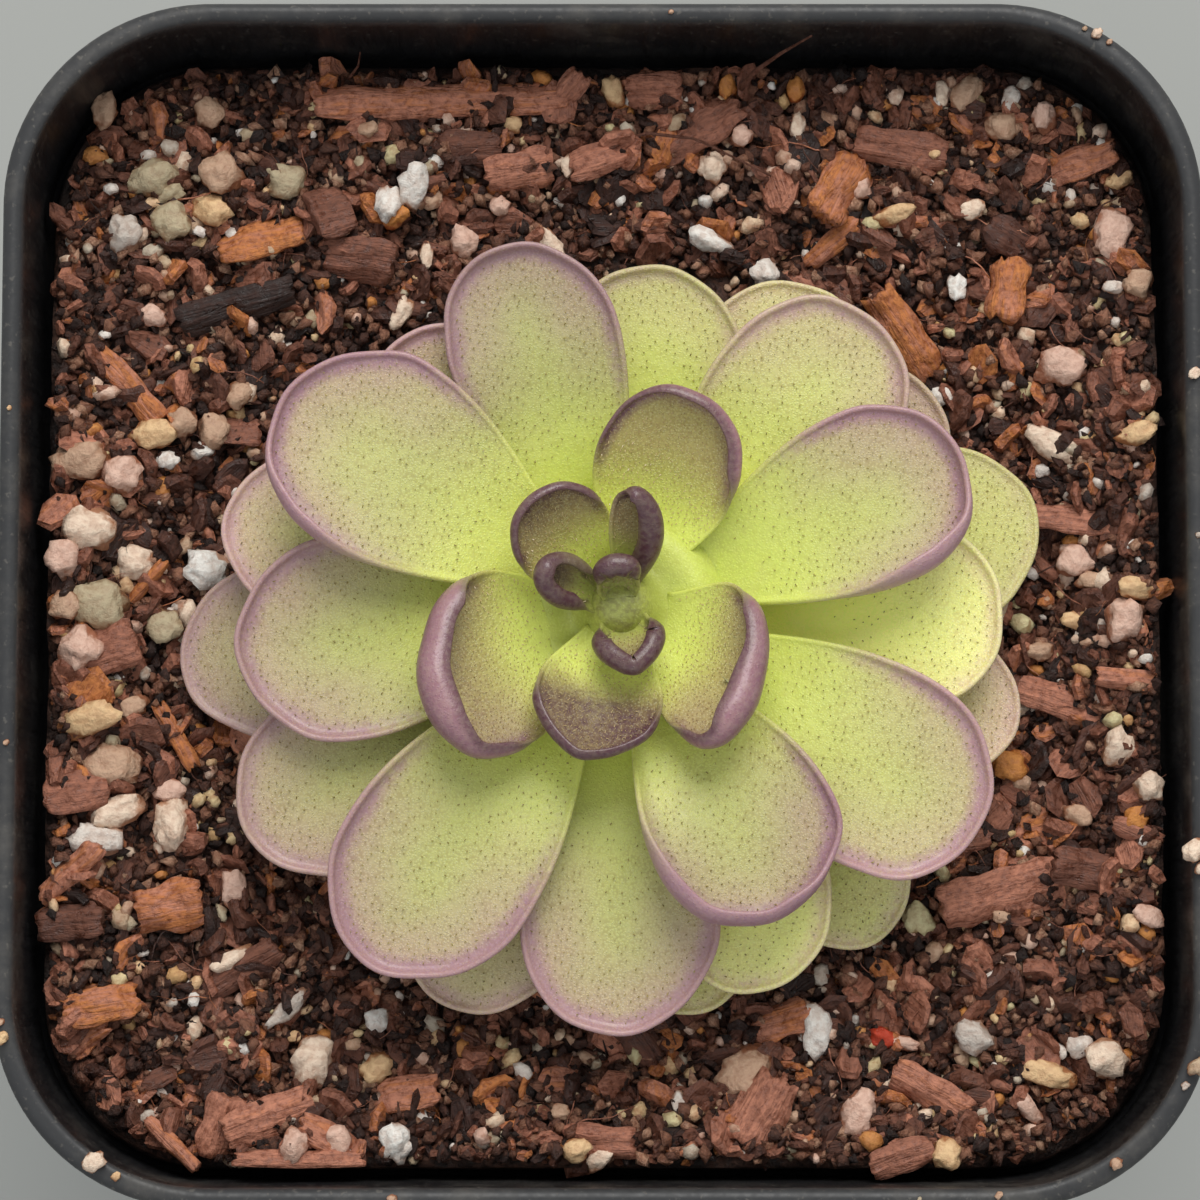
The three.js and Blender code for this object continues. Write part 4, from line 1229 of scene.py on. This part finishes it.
barkStops = [
    (0.0, paint(50, 32, 26)), (0.2, paint(80, 48, 37)), (0.5, paint(132, 84, 65)),
    (0.72, paint(176, 116, 92)), (0.87, paint(210, 142, 114)), (0.96, paint(206, 128, 76)),
    (1.0, paint(214, 136, 76))]
crumbStops = [
    (0.0, paint(38, 24, 20)), (0.35, paint(88, 56, 44)), (0.65, paint(138, 92, 71)),
    (0.88, paint(182, 130, 102)), (1.0, paint(216, 172, 142))]
grainTints = {"grey": 0.0, "olive": 0.14, "tan": 0.28, "pink": 0.42, "cream": 0.56, "honey": 0.7,
              "lime": 0.84, "amber": 1.0}
grainStops = [
    (0.0, paint(206, 194, 182)), (0.14, paint(188, 172, 140)), (0.28, paint(200, 164, 136)),
    (0.42, paint(226, 188, 168)), (0.56, paint(240, 216, 192)), (0.7, paint(232, 194, 146)),
    (0.84, paint(218, 208, 160)), (0.94, paint(204, 140, 78)), (1.0, paint(208, 138, 70))]
perliteStops = [(0.0, paint(228, 216, 204)), (1.0, paint(244, 240, 232))]
redStops = [(0.0, paint(190, 60, 34)), (1.0, paint(200, 70, 40))]
barkFinish = makeBarkFinish("wetBark", barkStops, 0.26)
crumbFinish = makeBarkFinish("humusCrumb", crumbStops, 0.24)
grainFinish = makeStoneFinish("mineralGrain", grainStops, 0.35, 0.3)
perliteFinish = makeStoneFinish("perliteWhite", perliteStops, 0.6, 0.5)
redFinish = makeStoneFinish("redSeedCoat", redStops, 0.6, 0.2)


def placeMark(piece, points):           # where a point lies in its own chip, for the streaks
    layer = piece.data.attributes.new("place", "FLOAT_VECTOR", "POINT")
    layer.data.foreach_set("vector", np.asarray(points, float).reshape(-1))


def cutCube(cut):                       # a cube one unit across, divided by cut, as its points and faces
    made = bmesh.new()
    bmesh.ops.create_cube(made, size=1)
    cut(made)
    points = [vert.co.copy() for vert in made.verts]
    faces = [tuple(vert.index for vert in face.verts) for face in made.faces]
    made.free()
    return points, faces


def evenCube(cuts):
    return cutCube(lambda made: bmesh.ops.subdivide_edges(made, edges=made.edges, cuts=cuts,
                                                          use_grid_fill=True))


def longCube(*cuts):                    # cuts along x, y and z
    def cut(made):
        for axis, number in enumerate(cuts):
            along = [edge for edge in made.edges
                     if abs(edge.verts[0].co[axis] - edge.verts[1].co[axis]) > 0.5]
            bmesh.ops.subdivide_edges(made, edges=along, cuts=number)
    return cutCube(cut)


def stretched(point, size):
    return Vector((point.x * size[0], point.y * size[1], point.z * size[2]))


def endCaps(sides, rows):               # closes the first and the last ring of a tube
    return [tuple(reversed(range(sides))), tuple(range((rows - 1) * sides, rows * sides))]


def chipShape(dice, name):              # a flat chip one unit long with chamfered edges
    sides = dice.choice((6, 7, 8))
    wide, thick = dice.uniform(0.25, 0.48), dice.uniform(0.07, 0.16)
    outline = []
    for i in range(sides):
        turn = 2 * math.pi * (i + dice.uniform(-0.25, 0.25)) / sides
        reach = dice.uniform(0.75, 1.1)
        outline.append((0.5 * reach * math.cos(turn), wide * reach * math.sin(turn)))
    points = []
    for share, z in ((0.82, -thick), (1.0, 0.1 * thick), (0.8, thick)):
        for x, y in outline:
            bend = 0.25 * x * x
            points.append((share * x + dice.uniform(-0.03, 0.03), share * y + dice.uniform(-0.02, 0.02),
                           z + bend + dice.uniform(-0.25, 0.25) * thick))
    return finishShape(name, points, ringFaces(3, sides) + endCaps(sides, 3), False)


def roundShape(dice, name):             # a lumpy grain one unit across
    cube, faces = evenCube(1)
    stretch = Vector((1.0, dice.uniform(0.65, 0.9), dice.uniform(0.55, 0.85)))
    shift = Vector((dice.uniform(0, 9), dice.uniform(0, 9), 0))
    points = []
    for way in (point.normalized() for point in cube):
        swell = 1 + 0.5 * noise.noise(way * 1.6 + shift)
        points.append(tuple(stretched(way * 0.5 * swell, stretch)))
    return finishShape(name, points, faces, True)


def crumbShape(dice, name):             # a soft crumb of few faces, because thousands of them lie about
    points = []
    for way in ((1, 0, 0), (0, 1, 0), (-1, 0, 0), (0, -1, 0), (0, 0, 1), (0, 0, -1)):
        reach = dice.uniform(0.4, 0.62)
        points.append((reach * way[0] + dice.uniform(-0.12, 0.12),
                       0.85 * reach * way[1] + dice.uniform(-0.12, 0.12), 0.7 * reach * way[2]))
    faces = [(i, (i + 1) % 4, 4) for i in range(4)] + [((i + 1) % 4, i, 5) for i in range(4)]
    return finishShape(name, points, faces, True)


def fibreShape(dice, name):             # a thin bent root hair one unit long
    points, steps, sides = [], 6, 3
    bend, sag = dice.uniform(-0.25, 0.25), dice.uniform(-0.08, 0.1)
    for step in range(steps + 1):
        t = step / steps
        thick = 0.013 * (1.1 - 0.8 * t)
        y, z = bend * t * t + 0.04 * math.sin(9 * t + bend * 20), sag * math.sin(math.pi * t)
        for i in range(sides):
            turn = 2 * math.pi * i / sides
            points.append((t - 0.5, y + thick * math.cos(turn), z + thick * math.sin(turn)))
    return finishShape(name, points, ringFaces(steps + 1, sides) + endCaps(sides, steps + 1), True)


def finishShape(name, points, faces, roundShade):
    shape = makePiece(name, points, faces, roundShade=roundShade)
    placeMark(shape, points)
    tidyFaces(shape)
    return shape


def shapeSet(name, maker, number):      # a collection of shapes to pick from
    dice = random.Random(name)
    group = bpy.data.collections.new(name)
    scene.collection.children.link(group)
    for i in range(number):
        shape = maker(dice, f"{name}{i}")
        scene.collection.objects.unlink(shape)
        group.objects.link(shape)
    return group


def strew(name, ground, shapes, finish):
    plan, level = mixDesign[name], soilDesign["level"]
    flat = ground.reshape(-1, 3)
    x, y = flat[:, 0], flat[:, 1]
    wallReach = squareReach(np.arctan2(y, x), innerHalfAt(level), cornerAt(level, 1.0))
    wallGap = wallReach - np.hypot(x, y)
    room = smooth(20.5, 22.5, np.hypot(x - plantX, y - plantY)) * (wallGap > plan["toWall"])
    if name == "wall_flakes":
        room = room * (wallGap < 2.6)
    source = makePiece(name + "_ground", flat * mm, ringFaces(*ground.shape[:2]), None,
                       {"room": room.astype(float)})
    square = 1e4                                     # square centimetres in a square metre
    piece = growWith(strewTree, source, "soil_" + name, {
        "Per square metre": plan["number"] * square, "Smallest": plan["small"] * mm,
        "Largest": plan["large"] * mm, "Tumble": plan["tumble"], "Sink": plan["sink"] * mm,
        "Rise": plan["rise"] * mm, "Shapes": shapes, "Seed": plan["seed"], "Finish": finish})
    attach(piece, "root")
    return piece


def dropShapes(*groups):
    for group in groups:
        for shape in list(group.objects):
            bpy.data.objects.remove(shape)
        bpy.data.collections.remove(group)


ground = makeSoilBed()
chips = shapeSet("chips", chipShape, 9)
crumbs = shapeSet("crumbs", crumbShape, 6)
rounds = shapeSet("rounds", roundShape, 6)
hairs = shapeSet("hairs", fibreShape, 6)
strewn = [
    strew("bark_flakes", ground, chips, barkFinish),
    strew("wall_flakes", ground, chips, barkFinish),
    strew("humus_crumbs", ground, crumbs, crumbFinish),
    strew("small_grains", ground, rounds, grainFinish),
    strew("small_perlite", ground, rounds, perliteFinish),
    strew("root_fibres", ground, hairs, barkFinish),
]
dropShapes(chips, crumbs, rounds, hairs)
print("potting mix strewn", [(piece.name, len(piece.data.polygons)) for piece in strewn])


# the larger grains and chips, each in its own place

# kind, x, y, length, width, direction in degrees
largeGrains = [
    ("tan", -29.9, 30.0, 1.6, 2.2, 0), ("olive", -26.9, 25.9, 3.0, 2.3, 20),
    ("olive", -26.1, 24.9, 2.2, 1.2, 20), ("tan", -23.7, 29.9, 1.8, 1.9, 0),
    ("tan", -22.8, 26.1, 2.6, 2.3, -20), ("honey", -23.5, 23.9, 2.6, 1.9, -10),
    ("olive", -19.0, 25.8, 2.5, 2.2, 0), ("cream", -15.8, 23.3, 1.8, 1.1, -55),
    ("grey", -28.6, 22.4, 2.0, 2.3, 0), ("olive", -25.8, 23.2, 2.2, 2.4, 0),
    ("white", -11.3, 25.4, 1.8, 3.0, 0), ("white", -12.8, 24.4, 1.6, 2.5, -15),
    ("pink", -8.4, 22.2, 1.6, 2.0, 0), ("cream", -10.6, 21.5, 0.8, 1.8, 0),
    ("cream", -2.1, 26.8, 0.8, 1.6, 0), ("honey", -5.4, 29.3, 1.2, 1.0, 0),
    ("cream", -12.1, 17.9, 2.2, 1.1, 62), ("pink", -26.9, 17.5, 1.7, 1.3, -20),
    ("cream", -3.1, 21.9, 2.6, 1.3, -60), ("tan", -21.8, 12.8, 1.6, 1.8, 0),
    ("cream", -30.4, 4.6, 3.4, 2.6, -15), ("pink", -31.7, 2.7, 2.4, 2.1, 10),
    ("cream", -27.9, 2.7, 2.2, 2.2, 0), ("white", -23.6, 2.4, 3.0, 2.2, -8),
    ("olive", -29.9, 0.1, 3.5, 2.8, 0), ("tan", -31.8, 0.0, 2.0, 1.8, 0),
    ("honey", -26.8, 10.4, 3.0, 1.8, 10), ("tan", -25.0, 11.1, 1.8, 1.7, 0),
    ("tan", -23.2, 10.7, 2.0, 2.3, 0), ("white", -23.9, 9.5, 1.4, 1.1, 10),
    ("white", -26.0, 8.8, 1.9, 1.1, 5), ("tan", -30.9, 8.7, 3.6, 2.3, 15),
    ("pink", -28.5, 7.9, 2.4, 2.3, 0), ("olive", -26.1, -1.0, 2.2, 2.0, 0),
    ("cream", -24.6, -0.4, 1.3, 1.6, 0), ("pink", -30.8, -2.5, 2.6, 2.6, 20),
    ("honey", -30.3, -6.8, 4.0, 2.0, 18), ("tan", -27.8, -5.9, 1.9, 1.3, 25),
    ("tan", -28.9, -9.4, 3.1, 2.5, -10), ("cream", -28.6, -12.2, 3.4, 1.8, 22),
    ("white", -29.7, -13.8, 3.2, 2.0, -10), ("cream", -25.4, -12.8, 2.0, 3.4, 0),
    ("pink", -25.7, -10.9, 2.2, 1.3, 0), ("pink", -21.8, -16.5, 1.4, 2.4, -10),
    ("cream", -21.9, -20.8, 2.8, 1.0, 28), ("grey", -18.5, -23.6, 3.1, 1.1, 42),
    ("white", -13.3, -24.3, 1.6, 1.3, 30), ("cream", -17.0, -26.9, 2.5, 3.4, 0),
    ("honey", -13.2, -27.1, 2.2, 1.6, 45), ("honey", -18.2, -25.3, 0.8, 0.7, 0),
    ("white", -12.1, -31.4, 1.7, 2.3, 0), ("pink", -17.9, -31.7, 1.6, 2.3, 0),
    ("pink", -15.4, -31.4, 1.6, 2.2, 0), ("honey", -1.6, -31.8, 1.8, 1.4, 0),
    ("cream", -0.3, -32.4, 1.7, 1.1, 35), ("white", 12.5, -25.0, 1.8, 3.0, 8),
    ("white", 4.4, -29.1, 0.8, 1.4, 0), ("tan", 8.4, -27.4, 2.8, 3.5, -30),
    ("pink", 14.9, -29.7, 1.9, 2.9, -15), ("lime", 18.7, -18.4, 2.2, 1.7, -50),
    ("pink", 17.8, -25.7, 2.0, 0.8, -12), ("grey", 21.7, -25.3, 2.5, 2.0, -40),
    ("honey", 19.9, -32.0, 1.8, 1.9, 0), ("pink", 25.0, -29.6, 2.3, 1.1, -55),
    ("cream", 29.6, -26.6, 2.6, 2.3, -20), ("white", 28.0, -25.9, 1.7, 1.4, 0),
    ("honey", 26.1, -27.5, 3.5, 1.6, -15), ("pink", 31.9, -18.3, 2.0, 1.3, -20),
    ("pink", 30.7, -0.9, 2.2, 3.0, -15), ("honey", 28.0, -0.7, 1.8, 1.1, -10),
    ("tan", 29.0, 1.6, 1.7, 1.1, 0), ("pink", 28.1, 2.9, 2.4, 2.0, 10), ("honey", 31.5, 0.9, 2.6, 1.3, -10),
    ("cream", 30.2, -8.4, 1.7, 2.5, -15), ("cream", 32.0, -10.7, 1.6, 1.8, 0),
    ("honey", 31.5, 10.1, 2.6, 1.4, 15), ("cream", 26.8, 9.8, 3.6, 1.7, -35),
    ("pink", 30.5, 22.5, 2.3, 3.0, -25), ("pink", 27.4, 14.5, 3.1, 2.4, -10),
    ("white", 20.2, 12.8, 1.4, 1.2, 0), ("white", 21.2, 19.3, 1.2, 1.6, 0),
    ("white", 9.8, 20.3, 1.8, 1.7, 0), ("white", 6.5, 22.2, 2.8, 1.4, -25),
    ("cream", 6.6, 26.6, 1.7, 1.7, 0), ("cream", 22.1, 23.9, 1.6, 1.2, 10),
    ("honey", 17.3, 23.6, 2.8, 1.1, 18), ("honey", 20.2, 27.6, 1.7, 0.7, 40),
    ("cream", 20.4, 31.1, 0.8, 1.6, 0), ("tan", 21.9, 31.2, 1.6, 2.6, -20),
    ("white", 24.6, 30.7, 1.1, 1.8, -10), ("pink", 8.3, 28.4, 1.4, 1.3, 0),
    ("cream", 11.7, 29.0, 1.0, 1.8, 0), ("honey", 0.7, 31.3, 1.2, 2.0, 20),
    ("honey", 31.0, 25.9, 1.6, 1.1, 30), ("tan", 31.8, 19.2, 1.8, 1.7, 0),
    ("white", 30.3, 19.0, 1.2, 0.8, 0), ("tan", -14.1, 28.8, 1.3, 1.1, 0),
    ("tan", 23.5, -18.3, 1.2, 0.8, 0), ("white", 26.2, 8.3, 1.0, 0.8, 0), ("tan", 24.8, -10.3, 1.2, 1.1, 0),
    ("amber", 11.6, 31.3, 1.0, 1.7, 0), ("amber", 7.5, 31.5, 1.1, 1.6, 10),
    ("amber", -12.4, 23.6, 1.7, 1.2, 35), ("amber", 31.3, -12.7, 1.6, 1.6, 0),
    ("amber", 24.2, -9.4, 2.4, 2.0, 0), ("red", 16.5, -25.4, 1.7, 1.2, -20),
    ("cream", -21.2, 13.0, 1.1, 1.2, 0), ("tan", -2.5, -29.7, 1.2, 1.0, 0),
    ("tan", 28.0, -12.3, 1.8, 1.2, -30), ("tan", 26.1, -2.5, 1.7, 1.1, 0),
    ("pink", -6.2, 24.4, 1.2, 1.2, 0), ("pink", 15.5, 25.3, 1.3, 1.4, 0), ("tan", 24.0, 29.0, 1.8, 1.8, 0),
    ("pink", 26.4, 29.6, 1.4, 2.0, 10),
]
# x, y, length, width, direction, tint from black to orange, thickness as a share of the width
largeBark = [
    (-9.7, 30.6, 15.0, 2.0, 2, 0.87, 0.55), (-20.5, 22.2, 5.3, 2.4, 14, 0.97, 0.4),
    (-28.4, 13.3, 6.0, 1.8, -48, 0.93, 0.5), (-31.2, -15.7, 4.6, 1.5, 42, 0.88, 0.5),
    (-25.5, -17.7, 3.7, 3.0, 10, 0.92, 0.45), (-29.5, -23.4, 4.4, 2.7, 10, 0.94, 0.4),
    (-30.3, -25.4, 3.1, 1.3, 35, 0.9, 0.5), (-25.1, -31.5, 4.4, 1.0, -42, 0.88, 0.7),
    (-25.3, -7.6, 4.2, 1.0, -60, 0.95, 0.5), (-27.4, 1.2, 4.2, 0.8, 47, 0.97, 0.6),
    (18.1, 16.5, 6.2, 2.4, -55, 0.96, 0.45), (14.2, 25.3, 4.3, 3.0, 60, 0.94, 0.4),
    (13.8, 22.1, 3.8, 1.3, 40, 0.93, 0.4), (24.2, 19.1, 3.7, 2.6, 80, 0.95, 0.4),
    (28.6, 26.9, 4.6, 2.2, 18, 0.87, 0.4), (24.2, -16.7, 9.0, 3.1, 14, 0.8, 0.4),
    (30.7, -4.4, 3.4, 1.4, -8, 0.86, 0.5), (31.3, -13.4, 3.0, 1.2, -22, 0.72, 0.5),
    (-21.9, 18.1, 6.9, 2.2, 16, 0.02, 0.3), (-19.5, -30.0, 5.4, 2.4, 20, 0.84, 0.4),
    (-16.0, -31.1, 3.6, 1.8, -30, 0.87, 0.4), (-22.2, -30.5, 3.6, 2.8, 70, 0.82, 0.4),
    (3.1, 31.2, 3.2, 2.2, 0, 0.75, 0.4), (-0.2, 27.1, 3.6, 2.2, 20, 0.8, 0.4),
    (-5.0, 26.5, 4.2, 2.4, 10, 0.83, 0.3), (5.9, 29.0, 5.4, 2.6, 30, 0.62, 0.35),
    (28.1, 5.2, 6.0, 1.8, -5, 0.8, 0.4), (27.2, -5.5, 5.4, 2.0, -20, 0.82, 0.35),
    (-11.4, -28.6, 3.6, 2.2, 10, 0.88, 0.35), (-17.6, -32.3, 7.4, 1.2, 0, 0.8, 0.4),
    (9.2, -29.7, 4.4, 3.4, 60, 0.8, 0.35), (17.3, -32.2, 3.8, 1.8, 20, 0.7, 0.4),
    (19.2, -28.6, 5.0, 2.4, -30, 0.85, 0.35), (2.2, -25.6, 3.6, 2.2, -50, 0.35, 0.4),
    (10.5, -24.4, 3.6, 2.2, 20, 0.9, 0.35), (-2.0, 31.3, 2.4, 1.6, 50, 0.78, 0.4),
    (-11.0, 30.7, 2.4, 2.4, 80, 0.72, 0.4), (21.2, -13.8, 3.6, 1.6, 10, 0.6, 0.4),
    (-31.2, -18.6, 3.8, 2.2, 5, 0.4, 0.35), (-31.0, -11.0, 3.6, 2.4, 10, 0.7, 0.35),
    (-14.6, 21.0, 4.2, 3.0, -10, 0.55, 0.3), (-16.4, 23.8, 2.4, 3.6, 20, 0.5, 0.3),
    (-8.0, 27.7, 3.6, 2.4, 0, 0.45, 0.3), (24.5, 22.2, 3.6, 2.4, -30, 0.3, 0.3),
    (17.9, 27.7, 5.4, 2.4, -10, 0.66, 0.35), (-21.5, -21.5, 5.4, 1.8, 30, 0.5, 0.3),
    (-29.3, -2.6, 3.6, 3.0, 20, 0.68, 0.35), (-21.7, 10.7, 2.4, 1.8, 0, 0.6, 0.3),
    (-0.2, -31.4, 4.2, 2.2, 0, 0.74, 0.35), (28.9, -15.6, 5.0, 2.4, -10, 0.5, 0.35),
]
# crumbs that were spilled on the pot's lip. kind, x, y, size
lipCrumbs = [
    ("cream", 28.9, 33.1, 0.7), ("tan", 29.6, 32.6, 0.4), ("white", 28.2, 33.4, 0.35),
    ("honey", -34.3, -25.3, 0.9), ("tan", -34.4, -24.4, 0.5), ("cream", -28.9, -32.3, 1.4),
    ("honey", -27.7, -33.1, 0.6), ("cream", 33.9, -14.6, 1.5), ("cream", 34.3, -15.6, 0.9),
    ("white", 33.9, -26.9, 1.2), ("grey", 33.2, -28.0, 0.5), ("tan", 29.2, -32.4, 0.8),
    ("tan", 22.5, -34.2, 0.5), ("cream", 34.3, 13.0, 0.8), ("white", -34.4, 11.0, 0.35),
    ("tan", -34.3, -8.4, 0.4), ("white", 34.4, 3.6, 0.4), ("tan", -12.0, -34.4, 0.6),
    ("tan", 4.0, 34.4, 0.35), ("white", 18.0, -34.4, 0.3),
]


grainDesign = {"cuts": 4, "rough": 0.42, "lean": 0.5, "deepShare": 0.8, "onSoil": 0.55, "lipHeight": 64.95}
barkDesign = {"perMillimetre": 3, "leastCuts": 8, "sideCuts": 6, "upCuts": 2, "lean": 0.5, "height": 0.7,
              "ragged": 0.22, "ridge": 0.22, "hump": 0.5, "streakSize": 3.0}


def anyPlace(dice):
    return Vector((dice.uniform(0, 50), dice.uniform(0, 50), dice.uniform(0, 50)))


def lumpyGrain(middle, size, way, dice):     # a grain's points and faces, and how low each point lies in it
    cube, faces = evenCube(grainDesign["cuts"])
    rough, lean = grainDesign["rough"], grainDesign["lean"]
    shift = anyPlace(dice)
    turn = Euler((dice.uniform(-lean, lean), dice.uniform(-lean, lean), math.radians(way))).to_matrix()
    points, lows = [], []
    for out in (point.normalized() for point in cube):
        swell = 1 + rough * noise.noise(out * 1.5 + shift) + 0.4 * rough * noise.noise(out * 4 + shift)
        place = turn @ stretched(out, size)
        points.append((place * 0.5 * swell + middle) * mm)
        lows.append(0.5 - place.z / size[2])
    return points, faces, lows


def makeGrains(name, rows, finish, heightOf, seed):
    dice = random.Random(seed)
    points, faces, lows, tints = [], [], [], []
    for kind, x, y, long, wide, way in rows:
        deep = grainDesign["deepShare"] * min(long, wide)
        middle = Vector((x, y, heightOf(x, y, deep)))
        grainPoints, grainFaces, grainLows = lumpyGrain(middle, (long, wide, deep), way, dice)
        faces += [tuple(len(points) + i for i in face) for face in grainFaces]
        points += grainPoints
        lows += grainLows
        tints += [grainTints.get(kind, dice.random())] * len(grainPoints)
    piece = makePiece(name, points, faces, finish, {"tint": tints, "low": lows})
    tidyFaces(piece)
    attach(piece, "root")


def onSoil(x, y, deep):
    return float(soilHeight(x, y)) + grainDesign["onSoil"] + 0.1 * deep


def onLip(x, y, deep):
    return grainDesign["lipHeight"] + 0.42 * deep


def barkPoint(p, long, wide, thick, shift):  # from a cube one unit across to a ragged, ridged chip
    d = barkDesign
    ragged = noise.noise(Vector((3 * p.y * wide, 0, 0)) + shift) * min(1, 4 / long)
    endShare = abs(2 * p.x) ** 6
    along = p.x * long
    taper = 1 - 0.2 * endShare + 0.25 * noise.noise(Vector((along * 0.8, 0, 2)) + shift)
    across = p.y * wide * taper * math.sqrt(max(0.2, 1 - 0.5 * (2 * p.z) ** 2))
    ridge = noise.noise(Vector((along * 0.35, across * 3.2, 5)) + shift)
    hump = noise.noise(Vector((along * 0.6, across * 0.5, 9)) + shift)
    flat = p.z * (1 - 0.5 * (2 * p.y) ** 4)
    up = wide * thick * (flat + d["ridge"] * ridge + d["hump"] * hump)
    return along * (1 + d["ragged"] * ragged * endShare), across, up


def makeBark(name, rows, seed):
    d, dice = barkDesign, random.Random(seed)
    points, faces, tints, places = [], [], [], []
    for x, y, long, wide, way, tint, thick in rows:
        endCuts = max(d["leastCuts"], int(long * d["perMillimetre"]))
        cube, chipFaces = longCube(endCuts, d["sideCuts"], d["upCuts"])
        shift = anyPlace(dice)
        tip = min(d["lean"], 1.3 / long)             # long chips lie flatter
        lean = (dice.uniform(-d["lean"], d["lean"]), dice.uniform(-tip, tip), math.radians(way))
        turn = Euler(lean).to_matrix()
        middle = Vector((x, y, float(soilHeight(x, y)) + d["height"]))
        faces += [tuple(len(points) + i for i in face) for face in chipFaces]
        for corner in cube:
            point = barkPoint(corner, long, wide, thick, shift)
            points.append((turn @ Vector(point) + middle) * mm)
            places.append([part / d["streakSize"] for part in point])
            tints.append(tint)
    piece = makePiece(name, points, faces, barkFinish, {"tint": tints})
    placeMark(piece, places)
    tidyFaces(piece)
    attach(piece, "root")


# each is a line of points and its thickness at both ends
twigs = [
    (((8.3, 31.3, 58.6), (9.1, 32.0, 60.2), (10.6, 32.7, 61.9), (12.3, 33.3, 63.7)), 0.44, 0.12),
    (((-0.6, 27.2, 58.2), (2.4, 28.5, 59.0), (5.6, 28.1, 59.2), (10.1, 26.0, 58.4)), 0.3, 0.14),
    (((-15.2, 31.9, 58.8), (-14.6, 32.3, 60.2), (-14.4, 32.8, 61.6)), 0.2, 0.08),
    (((-19.5, -32.2, 58.6), (-18.4, -31.5, 60.4), (-18.0, -31.4, 62.2)), 0.2, 0.08),
]


def makeTwigs():
    sides, steps = 6, 14
    points, faces, places = [], [], []
    for line, first, last in twigs:
        start, dots = len(points), np.array(line)
        ahead = Vector(dots[-1] - dots[0]).normalized()
        across = ahead.orthogonal().normalized()
        other = ahead.cross(across)
        for step in range(steps + 1):
            t = step / steps
            middle = [np.interp(t * (len(dots) - 1), range(len(dots)), dots[:, axis]) for axis in range(3)]
            thick = 0.5 * lerp(first, last, t) * (1 + 0.25 * noise.noise(Vector((9 * t, first * 50, 0))))
            for i in range(sides):
                turn = 2 * math.pi * i / sides
                out = math.cos(turn) * across + math.sin(turn) * other
                points.append((Vector(middle) + thick * out) * mm)
                places.append((2 * t, math.cos(turn), math.sin(turn)))
        tube = ringFaces(steps + 1, sides) + endCaps(sides, steps + 1)
        faces += [tuple(start + i for i in face) for face in tube]
    piece = makePiece("soil_twigs", points, faces, barkFinish, {"tint": [0.62] * len(points)})
    placeMark(piece, places)
    tidyFaces(piece)
    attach(piece, "root")


def ofKind(*kinds):
    return [row for row in largeGrains if row[0] in kinds]


makeTwigs()
makeGrains("soil_large_grains", ofKind(*grainTints), grainFinish, onSoil, 31)
makeGrains("soil_large_perlite", ofKind("white"), perliteFinish, onSoil, 37)
makeGrains("soil_red_seed", ofKind("red"), redFinish, onSoil, 41)
makeBark("soil_large_bark", largeBark, 43)
crumbRows = [(kind, x, y, size, 0.8 * size, 40) for kind, x, y, size in lipCrumbs]
makeGrains("lip_crumbs", crumbRows, grainFinish, onLip, 47)
print("large grains and chips ready")


# a helper for a box's corners, and the triangle count of each shown piece

def corners(box):
    return [[round(float(c), 6) for c in corner] for corner in box]


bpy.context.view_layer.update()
triangles = {piece.name: sum(len(p.vertices) - 2 for p in piece.data.polygons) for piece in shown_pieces()}
print("triangles", sum(triangles.values()), sorted(triangles.items(), key=lambda item: -item[1])[:8])
